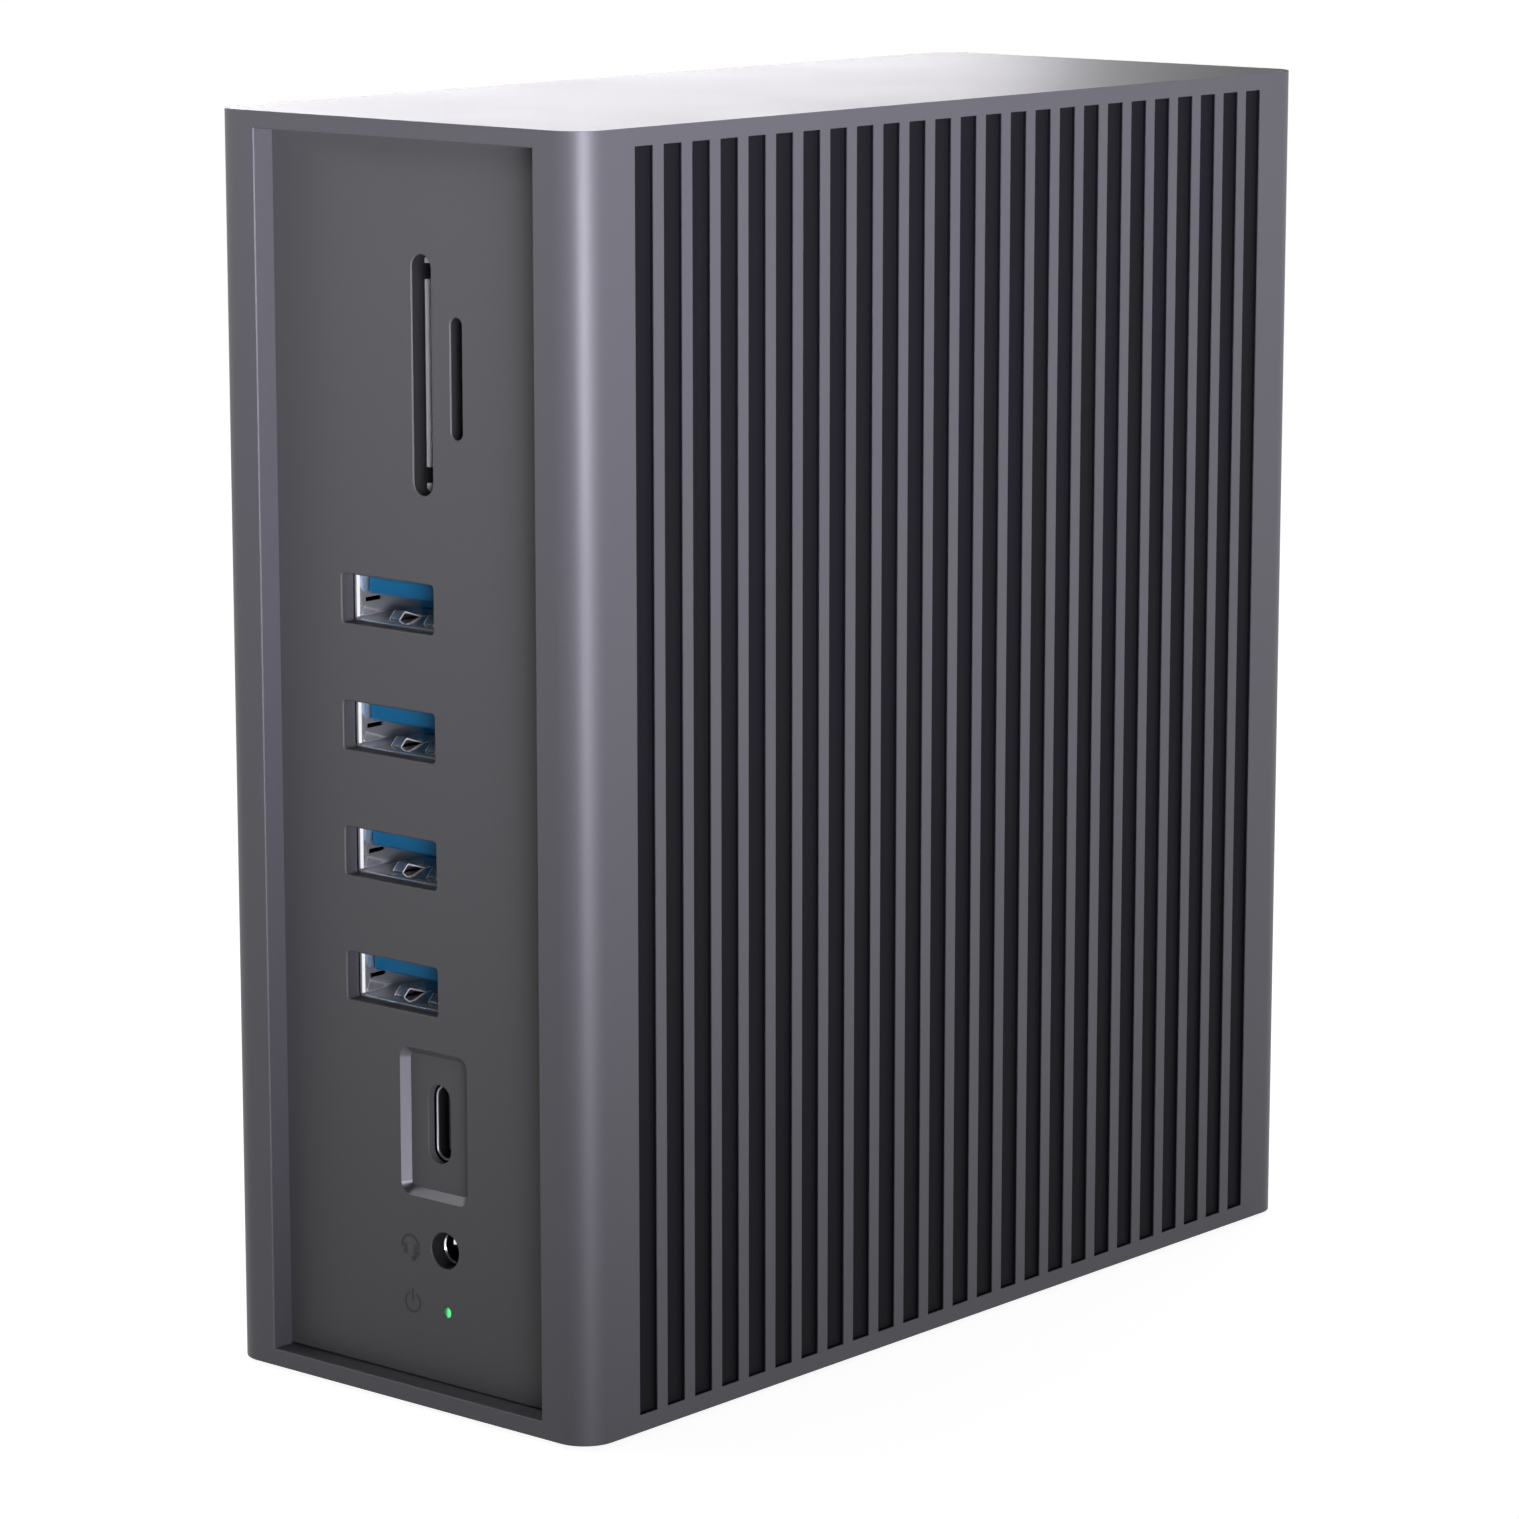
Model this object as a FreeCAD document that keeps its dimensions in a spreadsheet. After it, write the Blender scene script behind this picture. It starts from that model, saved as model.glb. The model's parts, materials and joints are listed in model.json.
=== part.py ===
# Upright docking station: an aluminium sleeve with grooved sides and a recessed front panel of sockets.
# X runs to the right as seen from the front, Y from front to back and Z up, in millimetres.
# Each piece is drawn with y = 0 on the sleeve's front and z = 0 under the sleeve, and its Placement
# moves it so that the origin lies under the middle of the station, on the surface it stands on.
import FreeCAD, Part
import os
import re
import Sketcher

doc = FreeCAD.newDocument("docking_station")

DIMENSIONS = {
    # sleeve
    "width": 56.0,
    "depth": 132.0,
    "height": 145.0,
    "corner_radius": 4.0,
    "side_wall": 2.5,
    "top_wall": 2.0,
    "frame_margin": 6.9,
    "recess": 2.9,
    "frame_bevel": 0.4,
    # grooves in both sides
    "groove_count": 25,
    "groove_width": 2.95,
    "groove_pitch": 4.65,
    "groove_depth": 0.5,
    "groove_end": 2.0,
    # feet
    "foot_diameter": 10.0,
    "foot_thickness": 1.6,
    "foot_seat": 1.0,
    "foot_inset": 12.0,
    "foot_clearance": 0.2,
    # panels and their fixing
    "panel_thickness": 1.85,
    "panel_clearance": 0.2,
    "rear_thickness": 2.0,
    "rear_recess": 2.0,
    "boss_size": 7.0,
    "boss_length": 12.0,
    "screw_diameter": 2.8,
    "screw_clearance": 0.1,
    "screw_length": 11.0,
    "screw_head": 5.0,
    "screw_head_height": 1.5,
    "screw_drive": 1.8,
    "screw_drive_depth": 0.9,
    # board and the rails that hold it
    "board_place": 3.8,
    "board_thickness": 1.6,
    "board_front": 8.0,
    "board_back_gap": 6.0,
    "board_clearance": 0.2,
    "rail_width": 1.5,
    "rail_height": 3.0,
    "rail_start": 12.0,
    "mouth_gap": 0.1,
    # large memory card socket
    "card_place": 1.7,
    "card_drop": 1.475,
    "card_slot_width": 2.9,
    "card_slot_height": 26.7,
    "card_width": 24.4,
    "card_way_place": 2.1,
    "card_gap": 2.3,
    "card_lip": 0.5,
    "card_lip_height": 20.8,
    "card_lip_trim": 4.0,
    "card_rail": 1.8,
    "card_length": 31.0,
    "cover_sheet": 0.3,
    # small memory card socket
    "mini_place": 6.9,
    "mini_slot_width": 1.7,
    "mini_slot_height": 13.5,
    "mini_width": 11.3,
    "mini_gap": 1.1,
    "mini_rail": 1.2,
    "mini_length": 15.0,
    # four flat data sockets
    "flat_place": -4.1,
    "flat_top_level": 90.9,
    "flat_pitch": 14.47,
    "flat_cut_width": 14.2,
    "flat_cut_height": 5.7,
    "flat_cut_radius": 0.5,
    "flat_width": 13.1,
    "flat_height": 5.7,
    "flat_sheet": 0.3,
    "flat_length": 14.0,
    "flat_block": 4.0,
    "tongue_width": 11.1,
    "tongue_height": 1.9,
    "tongue_drop": 0.35,
    "tongue_inset": 1.2,
    "flat_pin_width": 1.0,
    "flat_pin_height": 0.25,
    "flat_pin_pitch": 2.2,
    "flat_pin_count": 4,
    "spring_spacing": 5.3,
    "spring_width": 1.9,
    "spring_start": 1.6,
    "spring_length": 5.0,
    "slit_drop": 0.5,
    "slit_height": 0.5,
    "slit_start": 1.0,
    "slit_length": 2.6,
    # small oval sockets, front and back
    "oval_height": 8.94,
    "oval_width": 3.16,
    "oval_sheet": 0.3,
    "oval_length": 9.0,
    "oval_block": 2.5,
    "oval_tongue_height": 6.7,
    "oval_tongue_width": 0.7,
    "oval_tongue_inset": 0.9,
    "oval_clearance": 0.12,
    "oval_level": 32.0,
    "dish_width": 10.5,
    "dish_height": 17.35,
    "dish_radius": 1.5,
    "dish_depth": 1.15,
    "dish_slope": 0.55,
    # audio socket
    "audio_place": 3.7,
    "audio_level": 17.7,
    "audio_bore": 3.7,
    "audio_bevel": 0.2,
    "audio_body": 6.0,
    "audio_length": 13.0,
    "audio_end": 1.5,
    "sleeve_diameter": 5.0,
    "sleeve_length": 2.0,
    # status light
    "light_place": 3.9,
    "light_level": 10.5,
    "light_hole": 1.3,
    "light_clearance": 0.05,
    "collar_diameter": 4.0,
    "collar_gap": 0.2,
    "lamp_height": 3.0,
    "lamp_width": 1.2,
    "lamp_length": 2.0,
    # electronics on the board
    "chip_size": 12.0,
    "chip_height": 1.2,
    "chip_along": 72.0,
    "chip_level": 62.0,
    "video_chip_level": 88.0,
    "pad_height": 0.5,
    "sink_size": 40.0,
    "sink_base": 2.5,
    "sink_fin": 1.2,
    "sink_fin_height": 9.0,
    "sink_fin_count": 9,
    "coil_size": 10.0,
    "coil_height": 5.0,
    "coil_level": 96.0,
    "coil_along": 92.0,
    "can_diameter": 8.0,
    "can_height": 10.5,
    "can_drop": 11.0,
    "can_along": 60.0,
    "can_pitch": 11.0,
    # sockets at the back
    "back_clearance": 0.3,
    "net_level": 28.0,
    "net_height": 16.0,
    "net_width": 13.5,
    "net_length": 21.0,
    "net_mouth_height": 11.8,
    "net_mouth_width": 8.0,
    "net_mouth_depth": 14.0,
    "net_offset": 0.8,
    "net_key_height": 6.2,
    "net_key_width": 2.0,
    "net_pin_count": 8,
    "net_pin_pitch": 1.02,
    "net_pin_height": 0.4,
    "net_pin_width": 0.4,
    "net_pin_length": 8.0,
    "video_low_level": 54.0,
    "video_pitch": 23.0,
    "video_height": 15.0,
    "video_width": 5.6,
    "video_sheet": 0.4,
    "video_length": 11.5,
    "video_block": 3.0,
    "video_tongue_height": 11.0,
    "video_tongue_width": 1.3,
    "video_tongue_inset": 1.4,
    "host_level": 98.0,
    "power_level": 119.0,
    "power_height": 9.0,
    "power_width": 11.0,
    "power_length": 14.5,
    "power_bore": 6.4,
    "power_bore_depth": 10.0,
    "power_pin": 2.1,
    "power_pin_length": 9.0,
}

sheet = doc.addObject("Spreadsheet::Sheet", "Dims")
for row, (alias, number) in enumerate(DIMENSIONS.items(), start=1):
    sheet.set(f"A{row}", alias)
    sheet.set(f"B{row}", str(number))
    sheet.setAlias(f"B{row}", alias)
doc.recompute()

PLANES = {"XY": ("XY_Plane", 1), "XZ": ("XZ_Plane", -1), "YZ": ("YZ_Plane", 1)}
pieces = []


def cells(text):
    """Turns words such as width / 2 into an expression on the sheet's cells."""
    return re.sub(r"[a-z_]+", r"Dims.\g<0>", text)


def new_piece(label):
    """Starts a body whose own y = 0 is the sleeve's front and whose z = 0 is under the sleeve."""
    body = doc.addObject("PartDesign::Body", label)
    body.Label = label
    body.setExpression("Placement.Base.y", cells("-depth / 2"))
    body.setExpression("Placement.Base.z", cells("foot_thickness - foot_seat"))
    pieces.append(body)
    return body


def limit(sketch, kind, refs, text):
    """Adds a sized constraint to a sketch and binds it to the sheet."""
    index = sketch.addConstraint(Sketcher.Constraint(kind, *refs, 1.0))
    sketch.setExpression(f"Constraints[{index}]", cells(text))


def add_line(sketch, start, end):
    """Draws one straight line in a sketch."""
    return sketch.addGeometry(Part.LineSegment(FreeCAD.Vector(*start, 0), FreeCAD.Vector(*end, 0)), False)


def add_arc(sketch, centre, radius, first, last):
    """Draws one arc in a sketch, between two angles in quarter turns."""
    circle = Part.Circle(FreeCAD.Vector(*centre, 0), FreeCAD.Vector(0, 0, 1), radius)
    quarter = 1.5707963267948966
    return sketch.addGeometry(Part.ArcOfCircle(circle, first * quarter, last * quarter), False)


def rectangle(wide, tall):
    """An outline centred on its sketch's origin."""
    def draw(sketch):
        corners = [(-5, -5), (5, -5), (5, 5), (-5, 5)]
        lines = [add_line(sketch, corners[i], corners[(i + 1) % 4]) for i in range(4)]
        for i in range(4):
            sketch.addConstraint(Sketcher.Constraint("Coincident", lines[i], 2, lines[(i + 1) % 4], 1))
            sketch.addConstraint(Sketcher.Constraint("Vertical" if i % 2 else "Horizontal", lines[i]))
        sketch.addConstraint(Sketcher.Constraint("Symmetric", lines[0], 1, lines[2], 1, -1, 1))
        limit(sketch, "DistanceX", (lines[0], 1, lines[0], 2), wide)
        limit(sketch, "DistanceY", (lines[1], 1, lines[1], 2), tall)
    return draw


def rounded(wide, tall, radius):
    """A rectangle with rounded corners, centred on its sketch's origin."""
    def draw(sketch):
        ends = [((-3, -5), (3, -5)), ((5, -3), (5, 3)), ((3, 5), (-3, 5)), ((-5, 3), (-5, -3))]
        lines = [add_line(sketch, *pair) for pair in ends]
        centres = [(3, -3), (3, 3), (-3, 3), (-3, -3)]
        arcs = [add_arc(sketch, centres[i], 2, i - 1, i) for i in range(4)]
        for i in range(4):
            sketch.addConstraint(Sketcher.Constraint("Tangent", lines[i], 2, arcs[i], 1))
            sketch.addConstraint(Sketcher.Constraint("Tangent", arcs[i], 2, lines[(i + 1) % 4], 1))
            sketch.addConstraint(Sketcher.Constraint("Vertical" if i % 2 else "Horizontal", lines[i]))
        for arc in arcs[1:]:
            sketch.addConstraint(Sketcher.Constraint("Equal", arcs[0], arc))
        sketch.addConstraint(Sketcher.Constraint("Symmetric", arcs[0], 3, arcs[2], 3, -1, 1))
        limit(sketch, "Radius", (arcs[0],), radius)
        limit(sketch, "DistanceX", (lines[3], 1, lines[1], 1), wide)
        limit(sketch, "DistanceY", (lines[0], 1, lines[2], 1), tall)
    return draw


def oval(wide, tall):
    """An upright slot with round ends, centred on its sketch's origin."""
    def draw(sketch):
        right = add_line(sketch, (2, -3), (2, 3))
        top = add_arc(sketch, (0, 3), 2, 0, 2)
        left = add_line(sketch, (-2, 3), (-2, -3))
        bottom = add_arc(sketch, (0, -3), 2, 2, 4)
        ring = [right, top, left, bottom]
        for i in range(4):
            sketch.addConstraint(Sketcher.Constraint("Tangent", ring[i], 2, ring[(i + 1) % 4], 1))
        for line in (right, left):
            sketch.addConstraint(Sketcher.Constraint("Vertical", line))
        sketch.addConstraint(Sketcher.Constraint("Symmetric", top, 3, bottom, 3, -1, 1))
        limit(sketch, "DistanceX", (left, 1, right, 2), wide)
        limit(sketch, "DistanceY", (bottom, 3, top, 3), f"({tall}) - ({wide})")
    return draw


def disc(diameter):
    """A circle centred on its sketch's origin."""
    def draw(sketch):
        circle = sketch.addGeometry(Part.Circle(FreeCAD.Vector(0, 0, 0), FreeCAD.Vector(0, 0, 1), 2), False)
        sketch.addConstraint(Sketcher.Constraint("Coincident", circle, 3, -1, 1))
        limit(sketch, "Diameter", (circle,), diameter)
    return draw


def new_sketch(body, name, plane, place, outline):
    """Draws an outline about a place given as two coordinates in the plane and one across it."""
    role, side = PLANES[plane]
    sketch = body.newObject("Sketcher::SketchObject", name)
    origin_plane = next(feature for feature in body.Origin.OriginFeatures if feature.Role == role)
    sketch.AttachmentSupport = [(origin_plane, "")]
    sketch.MapMode = "FlatFace"
    sketch.setExpression("AttachmentOffset.Base.x", cells(place[0]))
    sketch.setExpression("AttachmentOffset.Base.y", cells(place[1]))
    sketch.setExpression("AttachmentOffset.Base.z", cells(f"{side} * ({place[2]})"))
    outline(sketch)
    return sketch


def add(body, name, plane, place, outline, length):
    """Pads an outline from its place along the positive direction across its plane."""
    feature = body.newObject("PartDesign::Pad", name)
    feature.Profile = new_sketch(body, f"{name}_sketch", plane, place, outline)
    feature.setExpression("Length", cells(length))
    feature.Reversed = PLANES[plane][1] < 0
    body.Tip = feature
    return feature


def cut(body, name, plane, place, outline, length):
    """Pockets an outline from its place along the positive direction across its plane."""
    feature = body.newObject("PartDesign::Pocket", name)
    feature.Profile = new_sketch(body, f"{name}_sketch", plane, place, outline)
    feature.setExpression("Length", cells(length))
    feature.Reversed = PLANES[plane][1] > 0
    body.Tip = feature
    return feature


def repeat(body, feature, axis, step, count):
    """Repeats one feature of a body in a row along one of the body's axes."""
    row = body.newObject("PartDesign::LinearPattern", f"{feature.Name}_row")
    row.Originals = [feature]
    row.Direction = (next(item for item in body.Origin.OriginFeatures if item.Role == axis), [""])
    row.setExpression("Length", cells(f"({step}) * ({count} - 1)"))
    row.setExpression("Occurrences", cells(count))
    body.Tip = row
    return row


def bevel(body, name, size, chosen):
    """Chamfers the edges of a body whose middle and ends satisfy a test."""
    doc.recompute()
    base = body.Tip
    edges = enumerate(base.Shape.Edges, start=1)
    names = [f"Edge{index}" for index, edge in edges if chosen(edge.BoundBox)]
    feature = body.newObject("PartDesign::Chamfer", name)
    feature.Base = (base, names)
    feature.setExpression("Size", cells(size))
    body.Tip = feature
    return feature


# Places that several pieces share, as words for the sheet.
MIDDLE = "height / 2"
CAVITY_WIDE = "(width - 2 * side_wall)"
CAVITY_TALL = "(height - 2 * top_wall)"
PANEL_BACK = "(recess + panel_thickness)"
MOUTH = f"({PANEL_BACK} + mouth_gap)"
REAR_FACE = "(depth - rear_recess)"
REAR_INNER = f"({REAR_FACE} - rear_thickness)"
BOARD_RIGHT = "(board_place + board_thickness)"
BOSS_X = "(width / 2 - side_wall - boss_size / 2)"
BOSS_Z = "(height / 2 - top_wall - boss_size / 2)"
OVAL_X = "(board_place - oval_width / 2)"
FLAT_TOP = "(flat_top_level + flat_cut_height / 2)"
CARD_LEVEL = f"(({FLAT_TOP} + height - top_wall) / 2 - card_drop)"
CAN_LEVEL = "(height - top_wall - can_drop)"
CORNERS = [(-1, -1), (1, -1), (-1, 1), (1, 1)]


def make_housing():
    """The one-piece sleeve: rounded tube, front frame, grooved sides, board rails and screw bosses."""
    body = new_piece("housing")
    add(body, "block", "XY", ("0", "depth / 2", "0"), rounded("width", "depth", "corner_radius"), "height")
    cut(body, "cavity", "XZ", ("0", MIDDLE, "recess"), rectangle(CAVITY_WIDE, CAVITY_TALL), "depth - recess")
    window = rectangle("width - 2 * frame_margin", CAVITY_TALL)
    cut(body, "window", "XZ", ("0", MIDDLE, "0"), window, "recess")
    bevel(body, "window_bevel", "frame_bevel", lambda box: box.YMax < 1e-6 and not touches_outside(box))
    groove = rectangle("groove_width", "height - 2 * groove_end")
    first = "depth / 2 - groove_pitch * (groove_count - 1) / 2"
    for side, across in (("left", "-width / 2"), ("right", "width / 2 - groove_depth")):
        slot = cut(body, f"{side}_groove", "YZ", (first, MIDDLE, across), groove, "groove_depth")
        repeat(body, slot, "Y_Axis", "groove_pitch", "groove_count")
    rail = rectangle("rail_width", "rail_height")
    rail_end = f"{REAR_INNER} - board_back_gap - rail_start"
    beside = {
        "left": "board_place - board_clearance - rail_width / 2",
        "right": f"{BOARD_RIGHT} + board_clearance + rail_width / 2",
    }
    level = {"low": "top_wall + rail_height / 2", "high": "height - top_wall - rail_height / 2"}
    for side, across in beside.items():
        for end, up in level.items():
            add(body, f"rail_{end}_{side}", "XZ", (across, up, "rail_start"), rail, rail_end)
    for number, (right, high) in enumerate(CORNERS, start=1):
        place = (f"{right} * {BOSS_X}", f"{MIDDLE} + {high} * {BOSS_Z}", f"{REAR_INNER} - boss_length")
        add(body, f"boss_{number}", "XZ", place, rectangle("boss_size", "boss_size"), "boss_length")
        hole = disc("screw_diameter + 2 * screw_clearance")
        cut(body, f"boss_hole_{number}", "XZ", place, hole, "boss_length")
    for number, place in enumerate(foot_places(), start=1):
        seat = disc("foot_diameter + 2 * foot_clearance")
        cut(body, f"foot_seat_{number}", "XY", (*place, "0"), seat, "foot_seat")


def touches_outside(box):
    """True for an edge that lies on the sleeve's outer faces."""
    wide = DIMENSIONS["width"] / 2 - DIMENSIONS["frame_margin"] + 1e-6
    return max(abs(box.XMin), abs(box.XMax)) > wide or box.ZMin < 1e-6


def foot_places():
    """Middles of the four feet."""
    return [
        (f"{right} * (width / 2 - foot_inset)", f"depth / 2 + {back} * (depth / 2 - foot_inset)")
        for right, back in CORNERS
    ]


def make_feet():
    """Four rubber discs let into the sleeve's underside."""
    for number, place in enumerate(foot_places(), start=1):
        body = new_piece(f"foot_{number}")
        add(body, "pad", "XY", (*place, "foot_seat - foot_thickness"), disc("foot_diameter"), "foot_thickness")


def make_front_panel():
    """The dark panel behind the front frame, with a cut-out for every socket."""
    body = new_piece("front_panel")
    plate = rectangle(f"{CAVITY_WIDE} - 2 * panel_clearance", f"{CAVITY_TALL} - 2 * panel_clearance")
    add(body, "plate", "XZ", ("0", MIDDLE, "recess"), plate, "panel_thickness")
    through = "panel_thickness"
    slot = oval("card_slot_width", "card_slot_height")
    cut(body, "card_slot", "XZ", ("card_place", CARD_LEVEL, "recess"), slot, through)
    slot = oval("mini_slot_width", "mini_slot_height")
    cut(body, "mini_slot", "XZ", ("mini_place", CARD_LEVEL, "recess"), slot, through)
    for number in range(4):
        place = ("flat_place", f"flat_top_level - {number} * flat_pitch", "recess")
        mouth = rounded("flat_cut_width", "flat_cut_height", "flat_cut_radius")
        cut(body, f"flat_{number + 1}", "XZ", place, mouth, through)
    dish = body.newObject("PartDesign::SubtractiveLoft", "dish")
    rim = rounded("dish_width", "dish_height", "dish_radius")
    dish.Profile = new_sketch(body, "dish_rim", "XZ", (OVAL_X, "oval_level", "recess"), rim)
    floor = rounded("dish_width - 2 * dish_slope", "dish_height - 2 * dish_slope", "dish_radius - dish_slope")
    floor_place = (OVAL_X, "oval_level", "recess + dish_depth")
    dish.Sections = [new_sketch(body, "dish_floor", "XZ", floor_place, floor)]
    body.Tip = dish
    mouth = oval("oval_width + 2 * oval_clearance", "oval_height + 2 * oval_clearance")
    cut(body, "oval_mouth", "XZ", (OVAL_X, "oval_level", "recess"), mouth, through)
    cut(body, "light_mouth", "XZ", ("light_place", "light_level", "recess"), disc("light_hole"), through)
    cut(body, "audio_mouth", "XZ", ("audio_place", "audio_level", "recess"), disc("audio_bore"), through)
    bevel(body, "audio_rim", "audio_bevel", is_audio_rim)


def is_audio_rim(box):
    """True for the round edge of the audio hole on the front panel's face."""
    on_face = abs(box.YMin - DIMENSIONS["recess"]) < 1e-6 and box.YLength < 1e-6
    here = FreeCAD.Vector(DIMENSIONS["audio_place"], DIMENSIONS["recess"], DIMENSIONS["audio_level"])
    return on_face and box.Center.distanceToPoint(here) < 1e-3 and box.XLength < 2 * DIMENSIONS["audio_bore"]


def make_rear_panel():
    """The plate that closes the back, with a cut-out for every rear socket and four screw holes."""
    body = new_piece("rear_panel")
    plate = rectangle(f"{CAVITY_WIDE} - 2 * panel_clearance", f"{CAVITY_TALL} - 2 * panel_clearance")
    add(body, "plate", "XZ", ("0", MIDDLE, REAR_INNER), plate, "rear_thickness")
    gap = "2 * back_clearance"
    mouths = {
        "net": ("net_level", "net_width", "net_height"),
        "video_low": ("video_low_level", "video_width", "video_height"),
        "video_high": ("video_low_level + video_pitch", "video_width", "video_height"),
        "power": ("power_level", "power_width", "power_height"),
    }
    for name, (level, wide, tall) in mouths.items():
        place = (f"board_place - {wide} / 2", level, REAR_INNER)
        cut(body, f"{name}_mouth", "XZ", place, rectangle(f"{wide} + {gap}", f"{tall} + {gap}"), "rear_thickness")
    mouth = oval("oval_width + 2 * oval_clearance", "oval_height + 2 * oval_clearance")
    cut(body, "host_mouth", "XZ", (OVAL_X, "host_level", REAR_INNER), mouth, "rear_thickness")
    for number, (right, high) in enumerate(CORNERS, start=1):
        place = (f"{right} * {BOSS_X}", f"{MIDDLE} + {high} * {BOSS_Z}", REAR_INNER)
        hole = disc("screw_diameter + 2 * screw_clearance")
        cut(body, f"screw_hole_{number}", "XZ", place, hole, "rear_thickness")


def make_rear_screws():
    """Four screws that hold the rear panel on the bosses."""
    body = new_piece("rear_screws")
    for number, (right, high) in enumerate(CORNERS, start=1):
        across = f"{right} * {BOSS_X}"
        up = f"{MIDDLE} + {high} * {BOSS_Z}"
        shank = (across, up, f"{REAR_FACE} - screw_length")
        add(body, f"shank_{number}", "XZ", shank, disc("screw_diameter"), "screw_length")
        head = (across, up, REAR_FACE)
        add(body, f"head_{number}", "XZ", head, disc("screw_head"), "screw_head_height")
        drive = (across, up, f"{REAR_FACE} + screw_head_height - screw_drive_depth")
        cut(body, f"drive_{number}", "XZ", drive, rectangle("screw_drive", "screw_drive"), "screw_drive_depth")


def make_board():
    """The main board on edge between its rails, notched for the audio socket."""
    body = new_piece("main_board")
    long = f"({REAR_INNER} - board_back_gap - board_front)"
    plate = rectangle(long, f"{CAVITY_TALL} - 2 * board_clearance")
    add(body, "plate", "YZ", (f"board_front + {long} / 2", MIDDLE, "board_place"), plate, "board_thickness")
    notch_long = f"({MOUTH} + audio_length + board_clearance - board_front)"
    notch = rectangle(notch_long, "audio_body + 2 * board_clearance")
    place = (f"board_front + {notch_long} / 2", "audio_level", "board_place")
    cut(body, "audio_notch", "YZ", place, notch, "board_thickness")


def make_card_socket(label, side, place, gap, wide, rail, length, lip):
    """A memory card socket: a base with two side rails on one face of the board, and a sheet cover.

    A lip of the base, if there is one, lies between the card's way and the cover.
    """
    outer = f"({wide} + 2 * {rail})"
    if side < 0:
        low, high = f"({place} - {gap} / 2 - {lip})", "board_place"
    else:
        low, high = BOARD_RIGHT, f"({place} + {gap} / 2 + {lip})"
    base = new_piece(f"{label}_base")
    block = rectangle(f"{high} - {low}", outer)
    add(base, "block", "XZ", (f"({low} + {high}) / 2", CARD_LEVEL, MOUTH), block, length)
    way = (place, CARD_LEVEL, MOUTH)
    cut(base, "card_way", "XZ", way, rectangle(gap, wide), f"{length} - {rail}")
    if side < 0:
        for name, up in (("lower", -1), ("upper", 1)):
            middle = f"{CARD_LEVEL} + {up} * ({wide} + card_lip_height) / 4"
            end = rectangle(lip, f"({wide} - card_lip_height) / 2")
            cut(base, f"{name}_lip_end", "XZ", (f"{low} + {lip} / 2", middle, MOUTH), end, "card_lip_trim")
    cover = new_piece(f"{label}_cover")
    skin = f"({high} - {low} + cover_sheet)"
    across = f"({low} + {high} + {side} * cover_sheet) / 2"
    sheet_outline = rectangle(skin, f"{outer} + 2 * cover_sheet")
    add(cover, "sheet", "XZ", (across, CARD_LEVEL, MOUTH), sheet_outline, length)
    inside = rectangle(f"{high} - {low}", outer)
    cut(cover, "inside", "XZ", (f"({low} + {high}) / 2", CARD_LEVEL, MOUTH), inside, length)


def make_flat_sockets():
    """Four flat data sockets: a folded shell, a tongue on a block that stands on the board, and pins."""
    for number in range(4):
        level = f"(flat_top_level - {number} * flat_pitch)"
        shell = new_piece(f"flat_shell_{number + 1}")
        here = ("flat_place", level, MOUTH)
        add(shell, "tube", "XZ", here, rectangle("flat_width", "flat_height"), "flat_length")
        inside = rectangle("flat_width - 2 * flat_sheet", "flat_height - 2 * flat_sheet")
        cut(shell, "inside", "XZ", here, inside, "flat_length")
        spring = rectangle("spring_width", "spring_length")
        for name, right in (("left", -1), ("right", 1)):
            across = f"flat_place + {right} * spring_spacing / 2"
            place = (across, f"{MOUTH} + spring_start + spring_length / 2", f"{level} - flat_height / 2")
            cut(shell, f"{name}_spring_windows", "XY", place, spring, "flat_height")
        slit_place = (f"{MOUTH} + slit_start + slit_length / 2", f"{level} - slit_drop", "flat_place - flat_width / 2")
        cut(shell, "side_slits", "YZ", slit_place, rectangle("slit_length", "slit_height"), "flat_width")
        tongue = new_piece(f"flat_tongue_{number + 1}")
        block_y = f"{MOUTH} + flat_length - flat_block"
        add(tongue, "block", "XZ", ("flat_place", level, block_y), inside, "flat_block")
        tongue_up = f"({level} + flat_height / 2 - flat_sheet - tongue_drop - tongue_height / 2)"
        plate_place = ("flat_place", tongue_up, f"{MOUTH} + tongue_inset")
        plate_long = "flat_length - flat_block - tongue_inset"
        add(tongue, "plate", "XZ", plate_place, rectangle("tongue_width", "tongue_height"), plate_long)
        base_wide = "(board_place - flat_place + flat_width / 2)"
        base_place = (f"board_place - {base_wide} / 2", level, f"{MOUTH} + flat_length")
        add(tongue, "base", "XZ", base_place, rectangle(base_wide, "flat_height"), "flat_block")
        pins = new_piece(f"flat_pins_{number + 1}")
        pin_up = f"{tongue_up} - tongue_height / 2 - flat_pin_height / 2"
        pin_first = "flat_place - flat_pin_pitch * (flat_pin_count - 1) / 2"
        pin = rectangle("flat_pin_width", "flat_pin_height")
        pin_place = (pin_first, pin_up, f"{MOUTH} + 2 * tongue_inset")
        strip = add(pins, "pin", "XZ", pin_place, pin, f"{plate_long} - tongue_inset")
        repeat(pins, strip, "X_Axis", "flat_pin_pitch", "flat_pin_count")


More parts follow.
